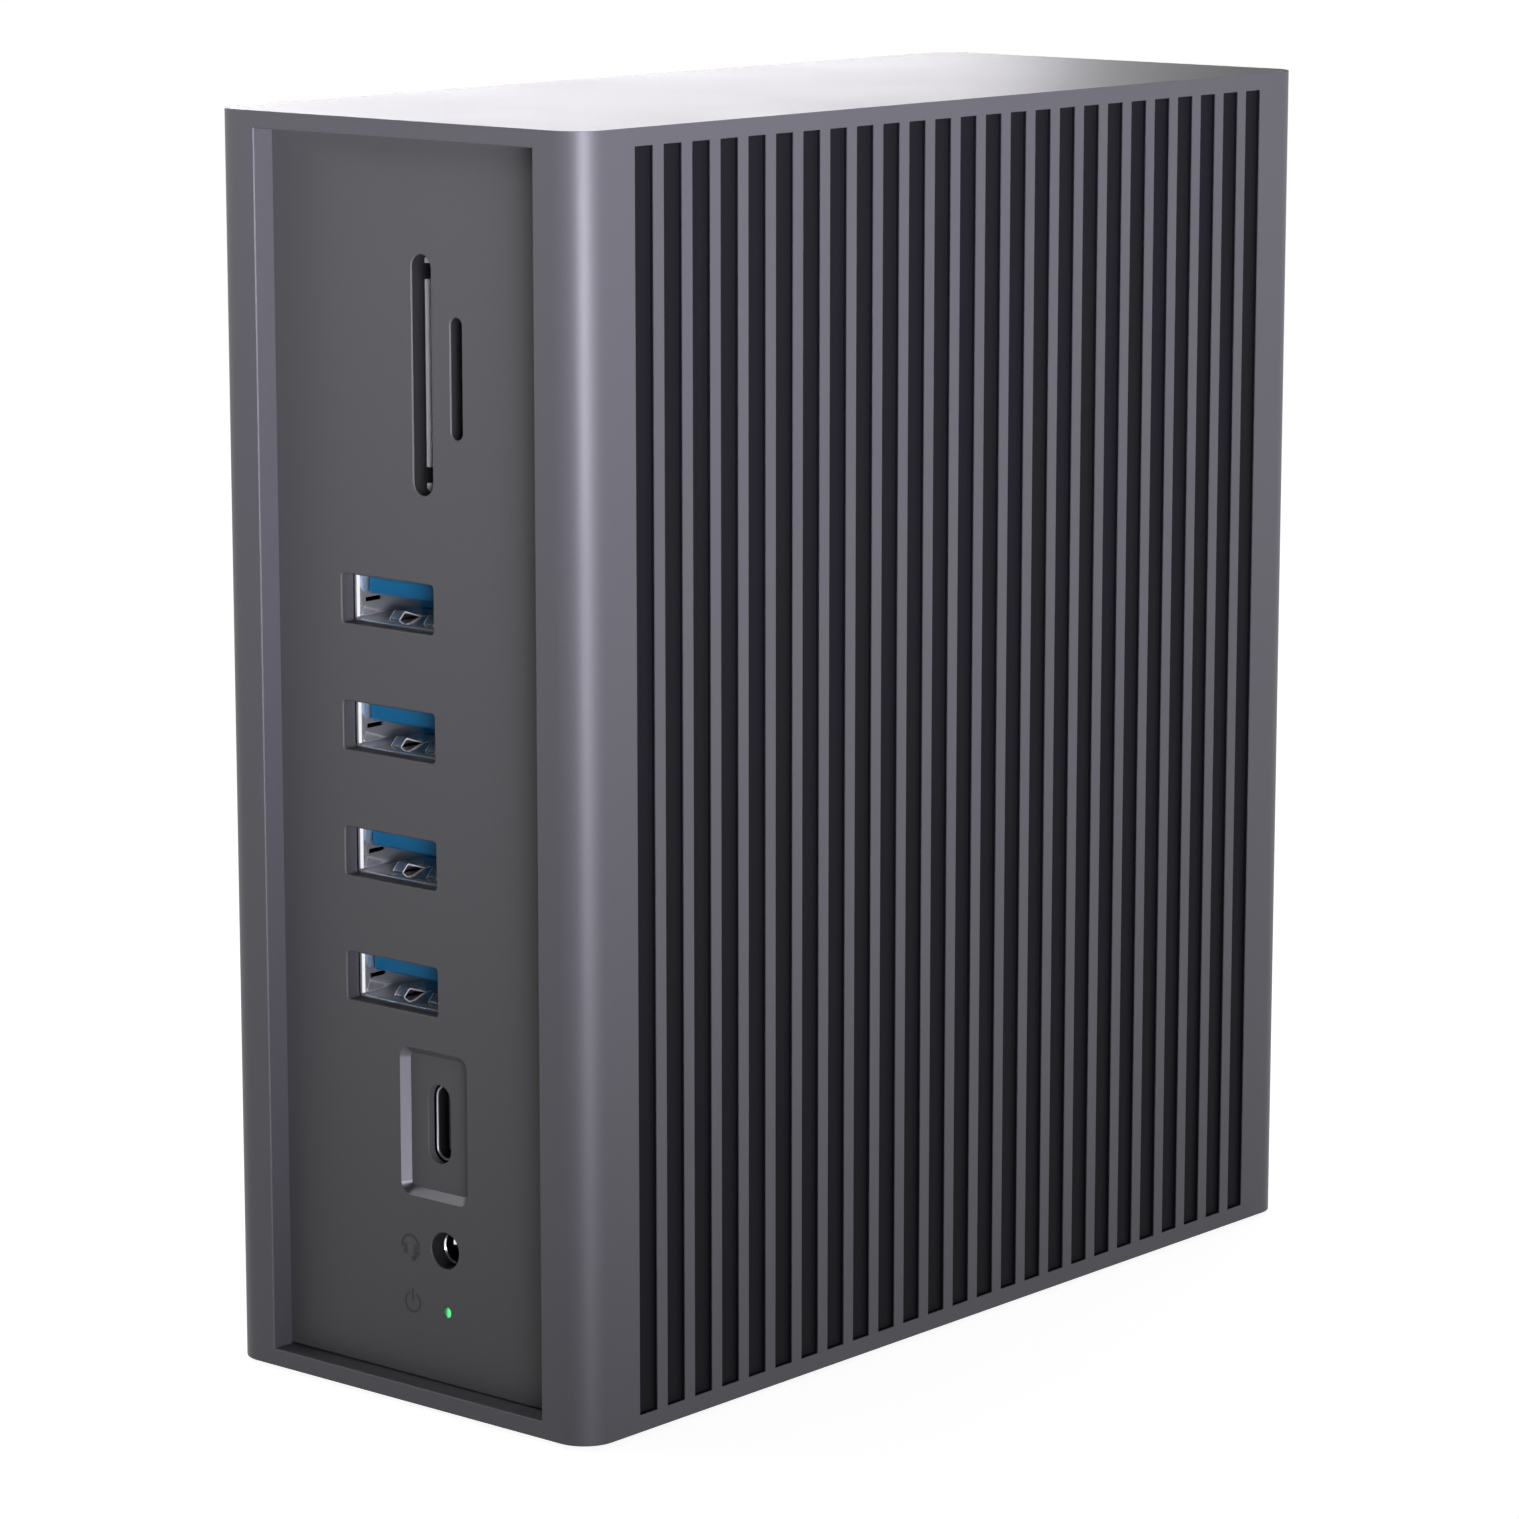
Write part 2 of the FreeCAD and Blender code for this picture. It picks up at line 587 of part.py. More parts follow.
def make_oval_socket(label, level, mouth, inward):
    """A small oval socket lying on the board, with its mouth toward the front or the back."""
    shell = new_piece(f"{label}_shell")
    start = mouth if inward > 0 else f"{mouth} - oval_length"
    here = (OVAL_X, level, start)
    inside = oval("oval_width - 2 * oval_sheet", "oval_height - 2 * oval_sheet")
    add(shell, "tube", "XZ", here, oval("oval_width", "oval_height"), "oval_length")
    cut(shell, "inside", "XZ", here, inside, "oval_length")
    tongue = new_piece(f"{label}_tongue")
    block_y = f"{start} + oval_length - oval_block" if inward > 0 else start
    add(tongue, "block", "XZ", (OVAL_X, level, block_y), inside, "oval_block")
    plate_y = f"{start} + oval_tongue_inset" if inward > 0 else f"{start} + oval_block"
    plate = rectangle("oval_tongue_width", "oval_tongue_height")
    plate_long = "oval_length - oval_block - oval_tongue_inset"
    add(tongue, "plate", "XZ", (OVAL_X, level, plate_y), plate, plate_long)


def make_audio_socket():
    """The round audio socket sunk into the board's notch, with a metal sleeve at its mouth."""
    body = new_piece("audio_body")
    here = ("audio_place", "audio_level", MOUTH)
    add(body, "block", "XZ", here, rectangle("audio_body", "audio_body"), "audio_length")
    cut(body, "bore", "XZ", here, disc("audio_bore"), "audio_length - audio_end")
    cut(body, "sleeve_seat", "XZ", here, disc("sleeve_diameter"), "sleeve_length")
    sleeve = new_piece("audio_sleeve")
    add(sleeve, "ring", "XZ", here, disc("sleeve_diameter"), "sleeve_length")
    cut(sleeve, "bore", "XZ", here, disc("audio_bore"), "sleeve_length")


def make_status_light():
    """A clear pipe that carries the lamp's light to the panel's face."""
    pipe = new_piece("light_pipe")
    rod = disc("light_hole - 2 * light_clearance")
    add(pipe, "rod", "XZ", ("light_place", "light_level", "recess"), rod, "panel_thickness")
    collar_long = f"board_front - collar_gap - {PANEL_BACK}"
    add(pipe, "collar", "XZ", ("light_place", "light_level", PANEL_BACK), disc("collar_diameter"), collar_long)
    lamp = new_piece("status_lamp")
    lamp_place = ("board_place - lamp_width / 2", "light_level", "board_front")
    add(lamp, "block", "XZ", lamp_place, rectangle("lamp_width", "lamp_height"), "lamp_length")


def make_electronics():
    """Chips, coil and capacitors on the board, and a finned heat sink on the video chip."""
    chip = rectangle("chip_size", "chip_size")
    hub = new_piece("hub_chip")
    add(hub, "block", "YZ", ("chip_along", "chip_level", "board_place - chip_height"), chip, "chip_height")
    video = new_piece("video_chip")
    add(video, "block", "YZ", ("chip_along", "video_chip_level", BOARD_RIGHT), chip, "chip_height")
    pad = new_piece("thermal_pad")
    on_chip = f"{BOARD_RIGHT} + chip_height"
    add(pad, "block", "YZ", ("chip_along", "video_chip_level", on_chip), chip, "pad_height")
    sink = new_piece("heat_sink")
    foot = f"{on_chip} + pad_height"
    base = rectangle("sink_size", "sink_size")
    add(sink, "base", "YZ", ("chip_along", "video_chip_level", foot), base, "sink_base")
    fin_first = "chip_along - sink_size / 2 + sink_fin / 2"
    fin_place = (fin_first, "video_chip_level", f"{foot} + sink_base")
    fin = add(sink, "fin", "YZ", fin_place, rectangle("sink_fin", "sink_size"), "sink_fin_height")
    repeat(sink, fin, "Y_Axis", "(sink_size - sink_fin) / (sink_fin_count - 1)", "sink_fin_count")
    coil = new_piece("power_coil")
    coil_place = ("coil_along", "coil_level", "board_place - coil_height")
    add(coil, "block", "YZ", coil_place, rounded("coil_size", "coil_size", "coil_size / 5"), "coil_height")
    for number in range(3):
        can = new_piece(f"capacitor_{number + 1}")
        place = (f"can_along + {number} * can_pitch", CAN_LEVEL, "board_place - can_height")
        add(can, "can", "YZ", place, disc("can_diameter"), "can_height")


def make_network_socket():
    """The network socket: a shielded block with a keyed mouth and a row of spring pins."""
    body = new_piece("network_body")
    place = ("board_place - net_width / 2", "net_level", f"{REAR_FACE} - net_length")
    add(body, "block", "XZ", place, rectangle("net_width", "net_height"), "net_length")
    mouth_x = "(board_place - net_width / 2 - net_offset)"
    mouth_place = (mouth_x, "net_level", f"{REAR_FACE} - net_mouth_depth")
    cut(body, "mouth", "XZ", mouth_place, rectangle("net_mouth_width", "net_mouth_height"), "net_mouth_depth")
    key_x = f"{mouth_x} + net_mouth_width / 2 + net_key_width / 2"
    key_place = (key_x, "net_level", f"{REAR_FACE} - net_mouth_depth")
    cut(body, "key", "XZ", key_place, rectangle("net_key_width", "net_key_height"), "net_mouth_depth")
    pins = new_piece("network_pins")
    pin_x = f"{mouth_x} - net_mouth_width / 2 + net_pin_width / 2"
    pin_first = "net_level - net_pin_pitch * (net_pin_count - 1) / 2"
    pin_place = (pin_x, pin_first, f"{REAR_FACE} - net_mouth_depth")
    pin = add(pins, "pin", "XZ", pin_place, rectangle("net_pin_width", "net_pin_height"), "net_pin_length")
    repeat(pins, pin, "Z_Axis", "net_pin_pitch", "net_pin_count")


def make_video_sockets():
    """Two flat video sockets standing one above the other at the back."""
    for number in range(2):
        level = f"(video_low_level + {number} * video_pitch)"
        middle = "board_place - video_width / 2"
        start = f"({REAR_FACE} - video_length)"
        shell = new_piece(f"video_shell_{number + 1}")
        add(shell, "tube", "XZ", (middle, level, start), rectangle("video_width", "video_height"), "video_length")
        inside = rectangle("video_width - 2 * video_sheet", "video_height - 2 * video_sheet")
        cut(shell, "inside", "XZ", (middle, level, start), inside, "video_length")
        tongue = new_piece(f"video_tongue_{number + 1}")
        add(tongue, "block", "XZ", (middle, level, start), inside, "video_block")
        plate = rectangle("video_tongue_width", "video_tongue_height")
        plate_long = "video_length - video_block - video_tongue_inset"
        add(tongue, "plate", "XZ", (middle, level, f"{start} + video_block"), plate, plate_long)


def make_power_inlet():
    """The round power inlet and its centre pin."""
    body = new_piece("power_inlet")
    middle = "board_place - power_width / 2"
    place = (middle, "power_level", f"{REAR_FACE} - power_length")
    add(body, "block", "XZ", place, rectangle("power_width", "power_height"), "power_length")
    bore_place = (middle, "power_level", f"{REAR_FACE} - power_bore_depth")
    cut(body, "bore", "XZ", bore_place, disc("power_bore"), "power_bore_depth")
    pin = new_piece("power_pin")
    add(pin, "pin", "XZ", bore_place, disc("power_pin"), "power_pin_length")


make_housing()
make_feet()
make_front_panel()
make_rear_panel()
make_rear_screws()
make_board()
make_card_socket("large_card", -1, "card_way_place", "card_gap", "card_width", "card_rail", "card_length", "card_lip")
make_card_socket("small_card", 1, "mini_place", "mini_gap", "mini_width", "mini_rail", "mini_length", "0")
make_flat_sockets()
make_oval_socket("front_oval", "oval_level", MOUTH, 1)
make_oval_socket("host_oval", "host_level", REAR_FACE, -1)
make_audio_socket()
make_status_light()
make_electronics()
make_network_socket()
make_video_sockets()
make_power_inlet()

doc.recompute()
for item in doc.Objects:
    if "Invalid" in item.State or "Error" in item.State:
        raise RuntimeError(f"{item.Name} did not build: {item.State}")
os.makedirs("parts", exist_ok=True)
for piece in pieces:
    shape = piece.Shape
    if shape.isNull() or not shape.isValid() or not shape.Solids:
        raise RuntimeError(f"{piece.Label} has no valid solid")
    shape.exportStep(os.path.join("parts", f"{piece.Label}.step"))
    print(f"{piece.Label}: {len(shape.Solids)} solid, {shape.Volume / 1000:.3f} cm3")
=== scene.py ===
# %% [markdown]
# # An upright docking station
# The station is a slim aluminium sleeve that stands on end. Its sides carry rows of blackened grooves,
# and a dark panel with all the sockets sits a few millimetres back inside the sleeve's front frame. The
# solids come from CAD, in metres, with the front toward -Y. This lesson dresses them: soft edges,
# finishes, flared socket mouths, contact springs and two small printed signs. Sizes below are in
# millimetres and are scaled once, when a piece is made; only the floor and the lamps are given in metres.

# %% Load the frame
import json
import math
import bmesh
import bpy
from mathutils import Matrix, Vector


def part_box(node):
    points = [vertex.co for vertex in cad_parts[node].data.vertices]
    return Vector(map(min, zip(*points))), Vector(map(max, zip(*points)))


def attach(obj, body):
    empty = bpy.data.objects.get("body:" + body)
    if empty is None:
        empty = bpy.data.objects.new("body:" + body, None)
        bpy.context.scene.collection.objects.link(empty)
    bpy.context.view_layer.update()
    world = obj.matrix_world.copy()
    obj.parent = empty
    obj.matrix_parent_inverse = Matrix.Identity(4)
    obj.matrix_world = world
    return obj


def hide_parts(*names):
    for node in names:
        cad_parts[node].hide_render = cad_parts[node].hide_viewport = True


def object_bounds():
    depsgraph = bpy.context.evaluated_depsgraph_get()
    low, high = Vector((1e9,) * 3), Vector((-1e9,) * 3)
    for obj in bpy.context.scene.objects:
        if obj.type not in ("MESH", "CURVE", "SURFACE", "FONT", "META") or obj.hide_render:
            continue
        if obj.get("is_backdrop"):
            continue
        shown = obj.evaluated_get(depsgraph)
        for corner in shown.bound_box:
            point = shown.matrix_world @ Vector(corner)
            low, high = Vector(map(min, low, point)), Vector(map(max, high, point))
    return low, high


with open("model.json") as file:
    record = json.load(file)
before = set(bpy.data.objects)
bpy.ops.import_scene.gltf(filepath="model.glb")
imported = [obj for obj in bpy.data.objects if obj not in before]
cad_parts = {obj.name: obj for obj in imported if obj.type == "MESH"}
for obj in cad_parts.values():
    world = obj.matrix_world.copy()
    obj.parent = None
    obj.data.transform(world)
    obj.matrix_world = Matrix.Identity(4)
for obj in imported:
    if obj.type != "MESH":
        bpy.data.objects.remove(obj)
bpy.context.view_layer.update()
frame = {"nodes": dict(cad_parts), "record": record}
nodes = frame["nodes"]
scene = bpy.context.scene
MM = 0.001

# %% [markdown]
# ## Camera
# The station is seen from the front right and a little from above, through a long lens. A camera can be
# aimed with a constraint or by hand; here it is placed by its eye, the turn of its axis and how far it
# looks down, because those three come straight from a fit to the sleeve's edges.

# %% Camera
EYE = Vector((418.2, -492.8, 189.9)) * MM
TURN = math.radians(40.555)
LOOK_DOWN = math.radians(10.925)
LENS = 129.6
SENSOR = 36.0
NEAREST = 10.0 * MM


def link_object(name, data):
    """Puts a new object into the scene at the origin."""
    thing = bpy.data.objects.new(name, data)
    scene.collection.objects.link(thing)
    return thing


camera_data = bpy.data.cameras.new("camera")
camera_data.sensor_width = SENSOR
camera_data.lens = LENS
camera_data.clip_start = NEAREST
camera = link_object("camera", camera_data)
camera.location = EYE
camera.rotation_euler = (math.pi / 2 - LOOK_DOWN, 0.0, TURN)
scene.camera = camera
print("camera at", [round(v, 3) for v in camera.location], "lens", LENS)

# %% [markdown]
# ## Floor and light
# The studio is white all round. The floor is pale, takes a soft shadow and turns up at its far edges into
# a low backdrop. A glow of its own, which only the eye and mirror-like surfaces see, carries both to
# white without lighting the station; it is a little weaker close by, so that the shadow shows. Seven soft
# boxes light the station. Two low ones on the right shine through grids at the near corner and the
# grooved side, and they aim high, so that the upright faces grow darker toward the floor. One at the left
# front lights the frame, one high on the left catches the bevels that face up, one behind lies as a sheen
# on the top, and two more, above and at the back, fill what is left.

# %% Node helpers
def add_node(tree, kind, place, inputs=None, **settings):
    """Adds a node, sets its properties and then its unlinked inputs, by name or number."""
    node = tree.nodes.new(kind)
    node.location = place
    for name, value in settings.items():
        setattr(node, name, value)
    for key, value in (inputs or {}).items():
        node.inputs[key].default_value = value
    return node


def wire(tree, links):
    """Links rows of (node, output, node, input); a socket goes by its name or number."""
    for source, output, target, into in links:
        tree.links.new(source.outputs[output], target.inputs[into])


def new_material(name):
    """A material with nothing in its tree but the output node."""
    material = bpy.data.materials.new(name)
    material.use_nodes = True
    tree = material.node_tree
    tree.nodes.clear()
    return material, tree, add_node(tree, "ShaderNodeOutputMaterial", (900, 0))


print("node helpers:", add_node.__name__, wire.__name__, new_material.__name__)

# %% Floor shape
FLOOR_REACH = 5.0
BACKDROP_RISE = 1.0
corners = [(x * FLOOR_REACH, y * FLOOR_REACH) for x, y in ((-1, -1), (1, -1), (1, 1), (-1, 1))]
points = [(x, y, z) for z in (0.0, BACKDROP_RISE) for x, y in corners]
backdrop = [(i, i + 4, (i + 1) % 4 + 4, (i + 1) % 4) for i in range(4)]
floor_mesh = bpy.data.meshes.new("floor")
floor_mesh.from_pydata(points, [], [(0, 1, 2, 3), *backdrop])
floor = link_object("floor", floor_mesh)
floor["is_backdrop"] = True
print("floor", FLOOR_REACH * 2, "m square")

# %% Floor finish
WHITE = (1.0, 1.0, 1.0, 1.0)
PALE = (0.45, 0.45, 0.45, 1.0)
NEAR_GLOW = 0.91
NEAR, FAR = 0.10, 0.55
glow_rise = {"From Min": NEAR, "From Max": FAR, "To Min": NEAR_GLOW, "To Max": 1.0}

material, tree, output = new_material("studio_floor")
pale = add_node(tree, "ShaderNodeBsdfDiffuse", (300, 100), {"Color": PALE})
glow = add_node(tree, "ShaderNodeEmission", (300, -100), {"Color": WHITE})
rays = add_node(tree, "ShaderNodeLightPath", (-500, -100))
eye_or_gloss = add_node(tree, "ShaderNodeMath", (-250, -100), operation="MAXIMUM")
or_glass = add_node(tree, "ShaderNodeMath", (-70, -100), operation="MAXIMUM")
strength = add_node(tree, "ShaderNodeMath", (110, -100), operation="MULTIPLY")
where = add_node(tree, "ShaderNodeTexCoord", (-500, -350))
away = add_node(tree, "ShaderNodeVectorMath", (-320, -350), operation="LENGTH")
rise = add_node(tree, "ShaderNodeMapRange", (-120, -350), glow_rise, interpolation_type="SMOOTHSTEP")
both = add_node(tree, "ShaderNodeAddShader", (600, 0))
wire(tree, [
    (rays, "Is Camera Ray", eye_or_gloss, 0), (rays, "Is Glossy Ray", eye_or_gloss, 1),
    (eye_or_gloss, 0, or_glass, 0), (rays, "Is Transmission Ray", or_glass, 1),
    (where, "Object", away, 0), (away, "Value", rise, "Value"),
    (or_glass, 0, strength, 0), (rise, "Result", strength, 1), (strength, 0, glow, "Strength"),
    (pale, 0, both, 0), (glow, 0, both, 1), (both, 0, output, "Surface"),
])
floor_mesh.materials.append(material)
print("floor glow rises from", NEAR_GLOW, "to 1 between", NEAR, "and", FAR, "m")

# %% Lamps and world
scene.view_settings.view_transform = "Standard"


def soft_box(name, place, aim, size, watts, spread=180.0, tint=(1.0, 1.0, 1.0)):
    """A rectangular area lamp in metres, turned toward a point; a grid narrows its spread, in degrees."""
    lamp = bpy.data.lights.new(name, "AREA")
    lamp.shape = "RECTANGLE"
    lamp.size, lamp.size_y = size
    lamp.energy = watts
    lamp.spread = math.radians(spread)
    lamp.color = tint
    holder = link_object(name, lamp)
    holder.location = place
    holder.rotation_euler = (Vector(aim) - Vector(place)).to_track_quat("-Z", "Y").to_euler()


LAVENDER = (0.90, 0.88, 1.0)
COOL = (0.97, 0.95, 1.0)
CORNER_TOP = (0.026, -0.064, 0.20)
# Each lamp: place, aim, size and watts, then its grid's spread and its tint where it has them.
soft_box("right_front", (0.557, -0.383, 0.09), CORNER_TOP, (0.40, 0.13), 0.80, 46.0, LAVENDER)
soft_box("right", (0.597, -0.165, 0.09), CORNER_TOP, (0.6, 0.14), 0.25, 46.0, LAVENDER)
soft_box("left_front", (-0.62, -0.24, 0.34), (0.0, -0.066, 0.17), (0.4, 0.1), 0.15, 34.0)
soft_box("behind_left", (-0.379, 0.268, 0.235), (0.016, 0.014, 0.145), (0.36, 0.15), 0.36, 90.0, COOL)
soft_box("above", (0.03, -0.14, 0.60), (0.0, -0.04, 0.08), (0.30, 0.16), 0.25)
soft_box("left_high", (-0.52, -0.29, 0.56), (0.0, -0.064, 0.03), (0.30, 0.26), 0.10, 60.0)
soft_box("back", (-0.05, 0.50, 0.60), (0.0, 0.07, 0.08), (0.4, 0.3), 0.8)

SKY_COLOUR = (0.95, 0.96, 1.0, 1.0)
SKY_STRENGTH = 0.035
world = bpy.data.worlds.new("studio")
scene.world = world
world.use_nodes = True
sky = world.node_tree.nodes["Background"]
sky.inputs["Color"].default_value = SKY_COLOUR
sky.inputs["Strength"].default_value = SKY_STRENGTH

# %% [markdown]
# ## Finishes
# Real finishes are never one flat colour. Two effects come back in all of them, so each is built once as
# a node group: a fine grain that shifts colour, roughness and height, as on blasted metal and moulded
# plastic, and the soft clouds that handling leaves in a satin surface. Pulled long in one direction, the
# grain turns into the drawn streaks of rolled sheet. Each material sets its own colour and scales.

# %% Group maker
NUMBER = "NodeSocketFloat"
COLOUR = "NodeSocketColor"
GREY = (0.2, 0.2, 0.2, 1.0)
EVEN = (1.0, 1.0, 1.0)


def new_group(name, inputs, outputs):
    """A shader node group with named sockets, given as name: (kind, default)."""
    group = bpy.data.node_groups.new(name, "ShaderNodeTree")
    for label, (kind, start) in inputs.items():
        socket = group.interface.new_socket(label, in_out="INPUT", socket_type=kind)
        socket.default_value = start
    for label, kind in outputs.items():
        group.interface.new_socket(label, in_out="OUTPUT", socket_type=kind)
    given = add_node(group, "NodeGroupInput", (-900, 0))
    result = add_node(group, "NodeGroupOutput", (700, 0))
    return group, given, result


print("a group has named sockets of", NUMBER, "and", COLOUR)

# %% Fine grain
grain, given, result = new_group(
    "fine_grain",
    {"Colour": (COLOUR, GREY), "Tint": (NUMBER, 0.1), "Scale": (NUMBER, 4000.0), "Roughness": (NUMBER, 0.5),
     "Spread": (NUMBER, 0.1), "Stretch": ("NodeSocketVector", EVEN)},
    {"Colour": COLOUR, "Roughness": NUMBER, "Height": NUMBER},
)
where = add_node(grain, "ShaderNodeTexCoord", (-900, -300))
pulled = add_node(grain, "ShaderNodeVectorMath", (-700, -300), operation="MULTIPLY")
speck = add_node(grain, "ShaderNodeTexNoise", (-500, -200), {"Detail": 2.0})
span = add_node(grain, "ShaderNodeMath", (-500, 200), {1: 2.0, 2: -1.0}, operation="MULTIPLY_ADD")
lift = add_node(grain, "ShaderNodeMath", (-300, 200), {2: 1.0}, operation="MULTIPLY_ADD")
shade = add_node(grain, "ShaderNodeVectorMath", (0, 200), operation="SCALE")
rough = add_node(grain, "ShaderNodeMath", (0, -50), operation="MULTIPLY_ADD", use_clamp=True)
wire(grain, [
    (where, "Object", pulled, 0), (given, "Stretch", pulled, 1), (pulled, 0, speck, "Vector"),
    (given, "Scale", speck, "Scale"), (speck, "Fac", span, 0), (span, 0, lift, 0), (given, "Tint", lift, 1),
    (given, "Colour", shade, 0), (lift, 0, shade, "Scale"), (span, 0, rough, 0), (given, "Spread", rough, 1),
    (given, "Roughness", rough, 2), (shade, 0, result, "Colour"), (rough, 0, result, "Roughness"),
    (speck, "Fac", result, "Height"),
])
print("grain group with", len(grain.nodes), "nodes")

# %% Handled clouds
clouds, given, result = new_group(
    "handled_clouds",
    {"Roughness": (NUMBER, 0.5), "Spread": (NUMBER, 0.05), "Scale": (NUMBER, 40.0)},
    {"Roughness": NUMBER},
)
where = add_node(clouds, "ShaderNodeTexCoord", (-700, -200))
smear = add_node(clouds, "ShaderNodeTexNoise", (-500, -200), {"Detail": 3.0, "Distortion": 0.4})
centre = add_node(clouds, "ShaderNodeMath", (-400, 0), {1: 0.5}, operation="SUBTRACT")
fit = add_node(clouds, "ShaderNodeMath", (-250, -100), operation="MULTIPLY")
total = add_node(clouds, "ShaderNodeMath", (0, 0), operation="ADD", use_clamp=True)
wire(clouds, [
    (where, "Object", smear, "Vector"), (given, "Scale", smear, "Scale"), (smear, "Fac", centre, 0),
    (centre, 0, fit, 0), (given, "Spread", fit, 1), (fit, 0, total, 0), (given, "Roughness", total, 1),
    (total, 0, result, "Roughness"),
])
print("cloud group with", len(clouds.nodes), "nodes")

# %% Finish maker
GRAIN_HIGH = 0.02
ALONG_Y = (1.0, 0.04, 1.0)


def finish(name, colour, rough, metal, scale, tint=0.1, spread=0.08, stretch=EVEN, cloud=0.06, bump=0.1,
           shine=0.5):
    """A grained surface: colour, roughness and a fine bump change over it; metal stays one value."""
    material, tree, output = new_material(name)
    constants = {"Metallic": metal, "Specular IOR Level": shine}
    shader = add_node(tree, "ShaderNodeBsdfPrincipled", (600, 0), constants)
    texture = add_node(tree, "ShaderNodeGroup", (0, 100), {
        "Colour": (*colour, 1.0), "Tint": tint, "Scale": scale, "Roughness": rough, "Spread": spread,
        "Stretch": stretch,
    }, node_tree=grain)
    handled = add_node(tree, "ShaderNodeGroup", (250, -50), {"Spread": cloud}, node_tree=clouds)
    bumped = add_node(tree, "ShaderNodeBump", (300, -250), {"Strength": bump, "Distance": GRAIN_HIGH * MM})
    wire(tree, [
        (texture, "Colour", shader, "Base Color"), (texture, "Roughness", handled, "Roughness"),
        (handled, "Roughness", shader, "Roughness"), (texture, "Height", bumped, "Height"),
        (bumped, "Normal", shader, "Normal"), (shader, 0, output, "Surface"),
    ])
    return material


anodised = finish("grey_anodised", (0.0925, 0.090, 0.099), 0.45, 0.10, 5000, bump=0.15, shine=0.3)
groove_black = finish("groove_black", (0.006, 0.006, 0.008), 0.60, 0.0, 3000, tint=0.25, shine=0.10)
panel_grey = finish("panel_grey", (0.085, 0.084, 0.086), 0.50, 0.0, 6000, tint=0.08, shine=0.25)
# Painted shade: a darker grey than the panel, for the walls of the flat mouths.
window_wall_shade = finish("window_wall_shade", (0.050, 0.049, 0.053), 0.55, 0.0, 5000, tint=0.08, shine=0.25)
# Painted shade: a near-black grey for the walls of the card slots and the audio hole.
hole_wall_shade = finish("hole_wall_shade", (0.0165, 0.0163, 0.0175), 0.60, 0.0, 3000, tint=0.15, shine=0.25)
cut_metal = finish("cut_metal", (0.105, 0.103, 0.113), 0.40, 0.85, 6000, tint=0.04, spread=0.03, bump=0.01)
ink = finish("sign_ink", (0.018, 0.018, 0.020), 0.60, 0.0, 4000, tint=0.20)
rear_grey = finish("rear_grey", (0.075, 0.075, 0.078), 0.52, 0.2, 5000)
rubber = finish("foot_rubber", (0.022, 0.022, 0.023), 0.75, 0.0, 2500, tint=0.25, bump=0.4)
dark_steel = finish("screw_black", (0.060, 0.060, 0.064), 0.38, 0.9, 3500, tint=0.15)
print(len(bpy.data.materials), "materials so far")

# %% Socket finishes
sheet_steel = finish(
    "sheet_steel", (0.82, 0.83, 0.84), 0.13, 0.85, 6000, tint=0.04, spread=0.03, stretch=ALONG_Y, cloud=0.03,
    bump=0.01,
)
# Painted highlight: a near-white finish for thin strips that stand for glints on the springs' edges.
painted_spring_glint = finish("painted_spring_glint", (0.94, 0.95, 0.96), 0.40, 0.10, 6000, tint=0.04, bump=0.02)
# Painted shade: the card covers' steel is darkened for the shade behind the slots.
shaded_card_steel = finish("shaded_card_steel", (0.045, 0.045, 0.048), 0.45, 0.60, 5000, bump=0.03)
oval_steel = finish("oval_steel", (0.30, 0.30, 0.32), 0.36, 0.8, 6000, tint=0.05, stretch=ALONG_Y, bump=0.03)
shield_steel = finish("shield_steel", (0.46, 0.46, 0.48), 0.32, 0.9, 5000, tint=0.06, bump=0.04)
bright_steel = finish("bright_steel", (0.78, 0.78, 0.80), 0.18, 1.0, 3500, tint=0.05)
blue_plastic = finish("tongue_blue", (0.005, 0.130, 0.275), 0.42, 0.0, 3500, tint=0.08, shine=0.15)
black_plastic = finish("socket_black", (0.014, 0.014, 0.015), 0.45, 0.0, 3500, tint=0.20)
pale_plastic = finish("card_frame_grey", (0.82, 0.82, 0.80), 0.45, 0.0, 3000, tint=0.03)
gilt = finish("contact_gold", (0.78, 0.56, 0.22), 0.25, 1.0, 3500, tint=0.08)
print(len(bpy.data.materials), "materials so far")

# %% Finishes of the inside
board_green = finish("board_green", (0.010, 0.075, 0.040), 0.42, 0.0, 900, tint=0.20)
chip_black = finish("chip_black", (0.020, 0.020, 0.021), 0.55, 0.0, 5000, tint=0.25)
pad_grey = finish("pad_grey", (0.42, 0.42, 0.45), 0.80, 0.0, 2500, tint=0.12)
plain_aluminium = finish("plain_aluminium", (0.55, 0.55, 0.56), 0.35, 1.0, 2500, stretch=ALONG_Y)
ferrite = finish("coil_ferrite", (0.050, 0.050, 0.052), 0.65, 0.1, 2500, tint=0.20)
lamp_white = finish("lamp_resin", (0.72, 0.72, 0.66), 0.35, 0.0, 3000, tint=0.05)
print(len(bpy.data.materials), "materials")

# %% [markdown]
# ## Building blocks for the pieces
# Nearly every piece here is a stack of rounded outlines: a slot, a socket mouth, a screw head. So one
# helper draws an outline at a level, one joins outlines with a skin of quads, and one fills the flat area
# between an outer outline and the holes in it. Stacks give clean quads and exact chamfers, where cutting
# holes with booleans leaves slivers.

# %% Outline helpers
ARC_STEPS = 8
SAME_POINT = 0.001


def disc(across):
    """The shape (width, height, corner radius) of a round outline."""
    return (across, across, across / 2)


def grow(shape, by):
    """An outline's shape moved outwards all round."""
    wide, tall, radius = shape
    return (wide + 2 * by, tall + 2 * by, radius + by)


